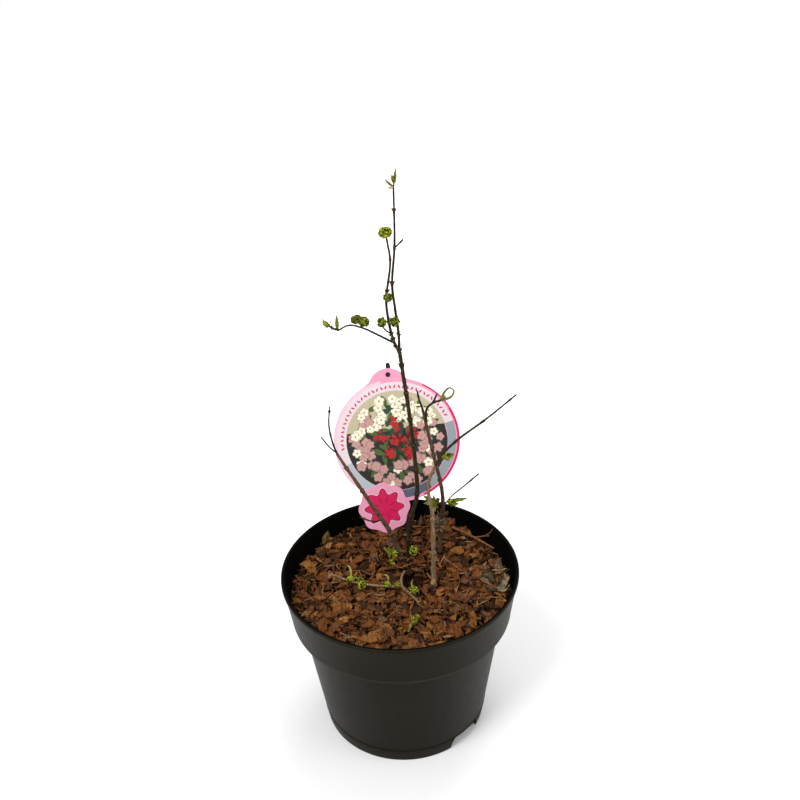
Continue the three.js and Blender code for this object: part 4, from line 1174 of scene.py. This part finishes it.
def make_label(rng):
    """The card of a disc, a tab and a badge, the print on it, and the stick behind it."""
    place, thickness = label_frame(), LABEL.thickness
    outlines = [round_outline(DISC.x, DISC.z, DISC.radius), tab_outline()]
    outlines.append(lobed_outline(BADGE.radius, BADGE.scallop))
    # Slightly uneven fronts and backs, so that no two faces fall together.
    faces = [(0, thickness), (0.001, thickness - 0.001), (-0.03, thickness + 0.002)]
    body = Heap()
    for outline, (front, back) in zip(outlines, faces):
        body.add(*prism(outline, front, back, place), "card_pink")
    card = body.piece("label_card_body", smooth=False)

    printed = Heap()
    layers = Card(printed, place)
    layers.next()
    for inner, outer, start, stop, tint in DISC_BANDS:
        layers.shape(band(inner, outer, start, stop), tint)
    layers.next()
    layers.shape(band(DISC.picture - 0.5, DISC.picture + 0.3, -100, 170), "print_blush")
    add_garland(layers, 0.5 * (DISC.picture + DISC.ring))
    add_picture(layers, rng)
    add_badge(layers)
    print_piece = printed.piece("label_print", smooth=False)

    stick, back = Heap(), thickness + STICK.gap
    foot, tip = STICK.width / 2, STICK.tip_width / 2
    shift, high = STICK.tip_shift, STICK.top - 2
    bar = [(-foot, -1), (foot, -1), (shift + tip, high)]
    bar += polar(shift, high, tip, np.linspace(0.3, math.pi - 0.3, 9))
    bar.append((shift - tip, high))
    stick.add(*prism(bar, back, back + STICK.thickness, place), "stick_black")
    wide, narrow = STICK.rib_width / 2, STICK.rib_tip_width / 2
    rib = [(-wide, -1), (wide, -1), (shift + narrow, STICK.rib_top), (shift - narrow, STICK.rib_top)]
    behind = back + STICK.thickness
    stick.add(*prism(rib, behind, behind + STICK.rib_depth, place), "stick_black")
    head = round_outline(*STICK.peg, STICK.peg_radius, 32)
    stick.add(*prism(head, back - 2.0, back + 0.4, place), "stick_black")
    pieces = [card, print_piece, stick.piece("label_stick_body", smooth=False)]

    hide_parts("label_card")
    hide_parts("label_card")
    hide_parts("label_stick")
    return pieces


def scattered(rng, count, low, high, apart):
    """Places between two radii of the picture, no two nearer than "apart"."""
    places, tries = [], 0
    while len(places) < count and tries < 4000:
        tries += 1
        x, z = ray(math.sqrt(rng.uniform(low * low, high * high)), rng.uniform(0, 2 * math.pi))
        if all(math.dist((x, z), other) > apart for other in places):
            places.append((x, z))
    return [(DISC.x + x, DISC.z + z) for x, z in places]


def add_flowers(layers, rng):
    """Six sprinklings of five-petalled flowers, cream above and blush below, one over another."""
    for _ in range(FLOWERS.rounds):
        for x, z in scattered(rng, FLOWERS.count, FLOWERS.inner, FLOWERS.outer, FLOWERS.apart):
            cream = rng.uniform() < (0.85 if z > DISC.z + 6 else 0.2)
            petal = "print_cream" if cream else "print_rose_white"
            shade = "print_shade" if cream else "print_rose_shade"
            radius, turn = rng.uniform(*FLOWERS.radii), rng.uniform(0, 6.3)
            layers.shape(flower_outline(x, z, radius, turn), shade)
            layers.shape(flower_outline(x, z, 0.88 * radius, turn), petal, above=1)
            layers.shape(round_outline(x, z, 0.2 * radius, 10), "print_straw", above=2)
        layers.next(3)


def add_berries(layers, rng):
    """Sprays of red berries in the middle of the wreath, the last of them at its very middle."""
    middles = [ray(BERRIES.reach, angle) for angle in np.radians(BERRIES.azimuths)]
    for middle in [*middles, (0, 0)]:
        for i in range(BERRIES.count):
            x, z = middle + rng.normal(0, BERRIES.scatter, 2)
            tint = "print_berry_dark" if i < BERRIES.dark else "print_berry"
            berry = round_outline(DISC.x + x, DISC.z + z, rng.uniform(*BERRIES.radii), 12)
            layers.shape(berry, tint, above=i * 0.08)
        layers.next(2)


def add_picture(layers, rng):
    """A plain garden motif: a wreath of pale flowers and leaves round sprays of red berries."""
    layers.shape(round_outline(DISC.x, DISC.z, DISC.picture), "print_dark_green")
    layers.next()
    sky = polar(DISC.x, DISC.z, DISC.picture, np.radians(np.linspace(14, 166, 60)))
    layers.shape(sky, "print_straw_pale")
    layers.next()
    places = scattered(rng, FOLIAGE.count, FOLIAGE.inner, FOLIAGE.outer, FOLIAGE.apart)
    for i, (x, z) in enumerate(places):
        tint = "print_leaf" if rng.uniform() < 0.5 else "print_deep_green"
        length, width = rng.uniform(*FOLIAGE.lengths), rng.uniform(*FOLIAGE.widths)
        leaf = leaf_outline(x, z, length, width, rng.uniform(0, 6.3))
        layers.shape(leaf, tint, above=0.02 * i)
    layers.next(2)
    add_flowers(layers, rng)
    add_berries(layers, rng)


def add_garland(layers, radius):
    """Small crimson leaves, leaning by turns to either side, round the pale part of the ring."""
    for i, angle in enumerate(np.radians(np.arange(*GARLAND.azimuths))):
        x, z = ray(radius, angle)
        lean = GARLAND.lean if i % 2 else -GARLAND.lean
        leaf = leaf_outline(DISC.x + x, DISC.z + z, GARLAND.length, GARLAND.width, angle + lean)
        layers.shape(leaf, "print_crimson")


def add_badge(layers):
    """A crimson rosette with a white and a dark outline and dark veins, on the badge's pink border."""
    for inset, depth, tint in BADGE_PRINTS:
        layers.next()
        layers.shape(lobed_outline(BADGE.radius - inset, depth), tint)
    layers.next()
    for i in range(BADGE.lobes):
        angle = 2 * math.pi * (i + 0.5) / BADGE.lobes
        x, z = ray(BADGE.vein, angle)
        vein = leaf_outline(BADGE.x + x, BADGE.z + z, BADGE.vein, BADGE.vein_width, angle)
        layers.shape(vein, "print_maroon")


# ---- potting mix


def make_mix():
    """The mix shows only through the drain holes, so its CAD solid stays, with the finish of the mulch's
    dark bed.
    """
    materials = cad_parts["potting_mix"].data.materials
    materials.clear()
    materials.append(MATERIALS["mulch_bed"])


# ---- materials


def shader(name, colour, roughness, specular=0.5, subsurface=0.0, gloss_tint=(1, 1, 1)):
    made = bpy.data.materials.new(name)
    made.use_nodes = True
    bsdf = made.node_tree.nodes["Principled BSDF"]
    bsdf.inputs["Base Color"].default_value = (*colour, 1)
    bsdf.inputs["Roughness"].default_value = roughness
    bsdf.inputs["Specular IOR Level"].default_value = specular
    bsdf.inputs["Specular Tint"].default_value = (*gloss_tint, 1)
    bsdf.inputs["Subsurface Weight"].default_value = subsurface
    bsdf.inputs["Subsurface Scale"].default_value = 0.001
    return made, made.node_tree, bsdf


def node_of(tree, kind, **inputs):
    """A new node; an input given as another node's output is linked to it, and any other is set."""
    node = tree.nodes.new("ShaderNode" + kind)
    for name, given in inputs.items():
        socket = node.inputs[name.replace("_", " ")]
        if isinstance(given, bpy.types.NodeSocket):
            tree.links.new(given, socket)
        else:
            socket.default_value = given
    return node


def noise_of(tree, scale, detail=4.0, stretch=(1, 1, 1), rough=0.55, turn=0.0):
    """Noise over the object's own coordinates; scale counts waves to a metre, turn is in degrees."""
    place = node_of(tree, "TexCoord").outputs["Object"]
    mapping = node_of(tree, "Mapping", Vector=place, Scale=stretch, Rotation=(0, 0, math.radians(turn)))
    place = mapping.outputs["Vector"]
    noise = node_of(tree, "TexNoise", Vector=place, Scale=scale, Detail=detail, Roughness=rough)
    return noise.outputs["Fac"]


def ramp_of(tree, fac, stops):
    ramp = node_of(tree, "ValToRGB", Fac=fac)
    elements = ramp.color_ramp.elements
    while len(elements) < len(stops):
        elements.new(0.5)
    for element, (place, colour) in zip(elements, stops):
        element.position, element.color = place, (*colour, 1)
    return ramp.outputs["Color"]


def paint(tree, bsdf, fac, stops):
    tree.links.new(ramp_of(tree, fac, stops), bsdf.inputs["Base Color"])


def bump_of(tree, bsdf, fac, strength, distance):
    bump = node_of(tree, "Bump", Height=fac, Strength=strength, Distance=distance)
    tree.links.new(bump.outputs["Normal"], bsdf.inputs["Normal"])


def range_of(tree, fac, low, high):
    return node_of(tree, "MapRange", Value=fac, To_Min=low, To_Max=high).outputs["Result"]


def times(colour, factor):
    return tuple(min(channel * factor, 1) for channel in colour)


def mottled(name, colour, roughness, scale, spread, specular, bump=0.4, depth=0.0003):
    """A finish whose colour wanders about one base colour, with a fine bump and uneven gloss."""
    made, tree, bsdf = shader(name, colour, roughness, specular)
    stops = [(0.3, times(colour, 1 - spread)), (0.5, colour), (0.72, times(colour, 1 + spread))]
    paint(tree, bsdf, noise_of(tree, scale), stops)
    fine = noise_of(tree, scale * 4, detail=6)
    bump_of(tree, bsdf, fine, bump, depth)
    tree.links.new(range_of(tree, fine, roughness - 0.1, min(roughness + 0.1, 1)), bsdf.inputs["Roughness"])
    return made


def bark_finish(name, low, high, streak):
    """Young bark: two tones in streaks along the stem, with pale specks."""
    made, tree, bsdf = shader(name, low, 0.75, specular=0.1)
    streaks = noise_of(tree, 900, detail=5, stretch=(1, 1, 0.16))
    base = ramp_of(tree, streaks, [(0.32, low), (0.52, times(low, 1.5)), (0.74, high)])
    specks = noise_of(tree, 1500, detail=2)
    mix = tree.nodes.new("ShaderNodeMix")
    mix.data_type = "RGBA"
    tree.links.new(ramp_of(tree, specks, [(0.66, (0, 0, 0)), (0.74, (1, 1, 1))]), mix.inputs["Factor"])
    tree.links.new(base, mix.inputs["A"])
    mix.inputs["B"].default_value = (*streak, 1)
    tree.links.new(mix.outputs["Result"], bsdf.inputs["Base Color"])
    bump_of(tree, bsdf, streaks, 0.5, 0.0003)
    return made


def chip_finish(name, colour, turn):
    """Bark: a grain of dark and light streaks that run one way, and a rough surface."""
    made, tree, bsdf = shader(name, colour, 0.92, specular=0.06)
    grain = noise_of(tree, 560, detail=7, stretch=(1, 0.16, 0.6), turn=turn, rough=0.65)
    stops = [(0.32, times(colour, 0.36)), (0.5, colour), (0.68, times(colour, 1.6))]
    paint(tree, bsdf, grain, stops)
    bump_of(tree, bsdf, grain, 1.0, 0.0008)
    return made


def plastic_finish(name, colour, roughness, specular):
    """Moulded plastic: a fine grain, and faint scuffs that change its gloss."""
    made, tree, bsdf = shader(name, colour, roughness, specular=specular, gloss_tint=(1, 0.88, 0.64))
    stops = [(0.3, times(colour, 0.86)), (0.7, times(colour, 1.18))]
    paint(tree, bsdf, noise_of(tree, 26, detail=3), stops)
    scuffs = noise_of(tree, 260, detail=8, stretch=(1, 1, 0.35), rough=0.7)
    tree.links.new(range_of(tree, scuffs, roughness - 0.07, roughness + 0.11), bsdf.inputs["Roughness"])
    bump_of(tree, bsdf, noise_of(tree, 2600, detail=2), 0.12, 0.0001)
    return made


def leaf_finish(name, colour):
    """Young leaf: a colour that wanders over it, a fine bump, soft gloss, and a little light through it."""
    made, tree, bsdf = shader(name, colour, 0.55, specular=0.08, subsurface=0.12)
    stops = [(0.28, times(colour, 0.5)), (0.5, colour), (0.75, times(colour, 1.45))]
    paint(tree, bsdf, noise_of(tree, 420, detail=3), stops)
    bump_of(tree, bsdf, noise_of(tree, 1800, detail=4), 0.5, 0.0003)
    return made


# Colour, roughness and specular of moulded plastic.
PLASTICS = {
    "pot_outside": ((0.0046, 0.0038, 0.0019), 0.42, 0.072),
    # The bead's band: the pot's plastic painted lighter, as a painted highlight.
    "pot_bead_highlight": ((0.0190, 0.0175, 0.0130), 0.42, 0.072),
    # The inside and the rim's top: the pot's plastic painted darker, as painted shade.
    "pot_shaded_inside": ((0.0016, 0.0015, 0.0012), 0.6, 0.01),
    "stick_black": ((0.006, 0.0055, 0.007), 0.4, 0.25),
}
# The two tones of a bark's streaks, and its specks.
BARKS = {
    "bark_dark": ((0.011, 0.0070, 0.003), (0.050, 0.034, 0.016), (0.10, 0.073, 0.041)),
    "bark_grey": ((0.050, 0.028, 0.016), (0.165, 0.104, 0.064), (0.25, 0.180, 0.120)),
    "bark_brown": ((0.036, 0.021, 0.011), (0.118, 0.076, 0.043), (0.19, 0.135, 0.085)),
    "bark_pale": ((0.075, 0.047, 0.025), (0.270, 0.185, 0.112), (0.36, 0.285, 0.19)),
    "dead_wood": ((0.075, 0.030, 0.010), (0.270, 0.130, 0.055), (0.36, 0.24, 0.13)),
}
LEAVES = {
    "leaf_lime": (0.270, 0.280, 0.0150),
    "leaf_bright": (0.165, 0.188, 0.0120),
    "leaf_green": (0.108, 0.132, 0.0120),
    "leaf_olive": (0.122, 0.114, 0.0140),
    "leaf_deep": (0.046, 0.056, 0.0085),
    "leaf_straw": (0.150, 0.140, 0.032),
    "hoop_green": (0.112, 0.102, 0.030),
    "sprout_stalk": (0.170, 0.165, 0.040),
}
# Colour, roughness, waves to a metre, spread of the colour, and specular.
MOTTLED = {
    # The bed under the chips: deeper mulch painted dark as the shade in the gaps between chips.
    "mulch_bed": ((0.0140, 0.0066, 0.0028), 0.95, 300, 0.35, 0.03),
    "bud_scale": ((0.062, 0.034, 0.017), 0.6, 900, 0.5, 0.2),
    "bud_green": ((0.075, 0.070, 0.016), 0.6, 900, 0.5, 0.1),
    "bract_pale": ((0.420, 0.300, 0.190), 0.7, 500, 0.3, 0.1),
    "dead_leaf": ((0.095, 0.064, 0.034), 0.85, 500, 0.8, 0.1),
    "dead_leaf_pale": ((0.120, 0.088, 0.050), 0.85, 420, 0.9, 0.1),
    "dead_leaf_brown": ((0.085, 0.042, 0.013), 0.85, 420, 0.8, 0.1),
    "dead_leaf_dark": ((0.042, 0.031, 0.016), 0.85, 400, 0.7, 0.1),
    "knob_pale": ((0.200, 0.120, 0.050), 0.85, 500, 0.3, 0.1),
    "chip_straw": ((0.190, 0.115, 0.060), 0.9, 500, 0.35, 0.08),
}
PRINTS = {
    "card_pink": (0.545, 0.215, 0.315), "print_lilac": (0.490, 0.425, 0.445),
    "print_pale_pink": (0.560, 0.370, 0.430), "print_pale_grey": (0.300, 0.320, 0.335),
    "print_straw_pale": (0.330, 0.300, 0.190), "print_straw": (0.270, 0.200, 0.060),
    "print_grey_blue": (0.190, 0.215, 0.235), "print_blue_dark": (0.060, 0.075, 0.100),
    "print_crimson": (0.430, 0.004, 0.060), "print_maroon": (0.110, 0.002, 0.016),
    "print_blush": (0.480, 0.290, 0.330), "print_white": (0.560, 0.470, 0.520),
    "print_dark_green": (0.012, 0.012, 0.009), "print_deep_green": (0.009, 0.040, 0.022),
    "print_leaf": (0.045, 0.080, 0.016), "print_cream": (0.600, 0.560, 0.440),
    "print_shade": (0.300, 0.230, 0.160), "print_rose_white": (0.360, 0.200, 0.190),
    "print_rose_shade": (0.190, 0.080, 0.080), "print_berry": (0.300, 0.010, 0.012),
    "print_berry_dark": (0.110, 0.004, 0.006),
}


def make_materials():
    made = {name: plastic_finish(name, *look) for name, look in PLASTICS.items()}
    made |= {name: bark_finish(name, *tones) for name, tones in BARKS.items()}
    made |= {name: leaf_finish(name, colour) for name, colour in LEAVES.items()}
    made |= {name: mottled(name, *look) for name, look in MOTTLED.items()}
    made |= {name: chip_finish(name, colour, turn) for name, (colour, _, turn) in CHIP_TINTS.items()}
    for name, colour in PRINTS.items():
        made[name] = mottled(name, colour, 0.4, 700, spread=0.07, specular=0.25, bump=0.05, depth=0.00005)
    return made


# ---- floor, light and camera

FLOOR_REACH = 12  # metres, as for the lamps
LAMPS = {  # place, size and power
    "key": ((-0.8, -0.9, 1.7), (0.7, 0.7), 34),
    "fill": ((1.3, -0.5, 1.1), (0.9, 1.2), 9),
    "top": ((0.3, 0.7, 1.8), (1.0, 1.0), 20),
}
LIT = (0, 0, 0.15)  # where the lamps point


def add_floor():
    mesh = bpy.data.meshes.new("floor")
    corners = [(-FLOOR_REACH, -FLOOR_REACH, 0), (FLOOR_REACH, -FLOOR_REACH, 0)]
    corners += [(FLOOR_REACH, FLOOR_REACH, 0), (-FLOOR_REACH, FLOOR_REACH, 0)]
    mesh.from_pydata(corners, [], [[0, 1, 2, 3]])
    material, tree, bsdf = shader("floor", (0.6, 0.6, 0.6), 0.9, specular=0.0)
    place = node_of(tree, "TexCoord").outputs["Object"]
    away = node_of(tree, "VectorMath", Vector=place)
    away.operation = "LENGTH"
    # Paler away from the pot, in units of 2 m.
    stops = [(0.08, (0.62, 0.62, 0.62)), (0.5, (0.98, 0.98, 0.98))]
    paint(tree, bsdf, range_of(tree, away.outputs["Value"], 0, 0.5), stops)
    mesh.materials.append(material)
    floor = placed("floor", mesh)


def add_lamp(name, at, size, watts):
    data = bpy.data.lights.new(name, "AREA")
    data.shape, data.size, data.size_y = "RECTANGLE", size[0], size[1]
    data.energy = watts
    lamp = placed(name, data)
    lamp.location = at
    lamp.rotation_euler = (Vector(LIT) - Vector(at)).to_track_quat("-Z", "Y").to_euler()


def add_light():
    world = bpy.data.worlds.new("studio")
    world.use_nodes = True
    inputs = world.node_tree.nodes["Background"].inputs
    inputs["Color"].default_value, inputs["Strength"].default_value = (1, 1, 1, 1), 1.0
    bpy.context.scene.world = world
    for name, lamp in LAMPS.items():
        add_lamp(name, *lamp)


def add_camera():
    pitch, yaw, roll = np.radians((CAMERA.pitch, CAMERA.yaw, CAMERA.roll))
    forward = Vector((math.sin(yaw) * math.cos(pitch), math.cos(yaw) * math.cos(pitch), -math.sin(pitch)))
    level = Vector((math.cos(yaw), -math.sin(yaw), 0))
    above = level.cross(forward)
    right = level * math.cos(roll) + above * math.sin(roll)
    up = above * math.cos(roll) - level * math.sin(roll)
    data = bpy.data.cameras.new("camera")
    data.sensor_width = CAMERA.sensor_mm
    data.lens = CAMERA.focal_px * CAMERA.sensor_mm / CAMERA.image_px
    data.clip_start, data.clip_end = 0.01, 60
    camera = placed("camera", data)
    turn = Matrix((right, up, -forward)).transposed().to_4x4()
    camera.matrix_world = Matrix.Translation(Vector(CAMERA.at) * MM) @ turn
    bpy.context.scene.camera = camera


# ---- assembly

MATERIALS = make_materials()
plant_random = np.random.default_rng(PLANT_SEED)
pieces = [make_limb(name, size, plant_random) for name, size in LIMBS.items()]
pieces += make_masses(plant_random)
pieces.append(make_pot())
chip_random = np.random.default_rng(CHIP_SEED)
pieces += [make_bed(chip_random), make_chips(chip_random), make_litter(chip_random)]
pieces += make_label(np.random.default_rng(PLANT_SEED))
make_mix()
for piece in pieces:
    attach(piece, "root")

add_floor()
add_light()
add_camera()
bpy.context.scene.view_settings.view_transform = "Standard"
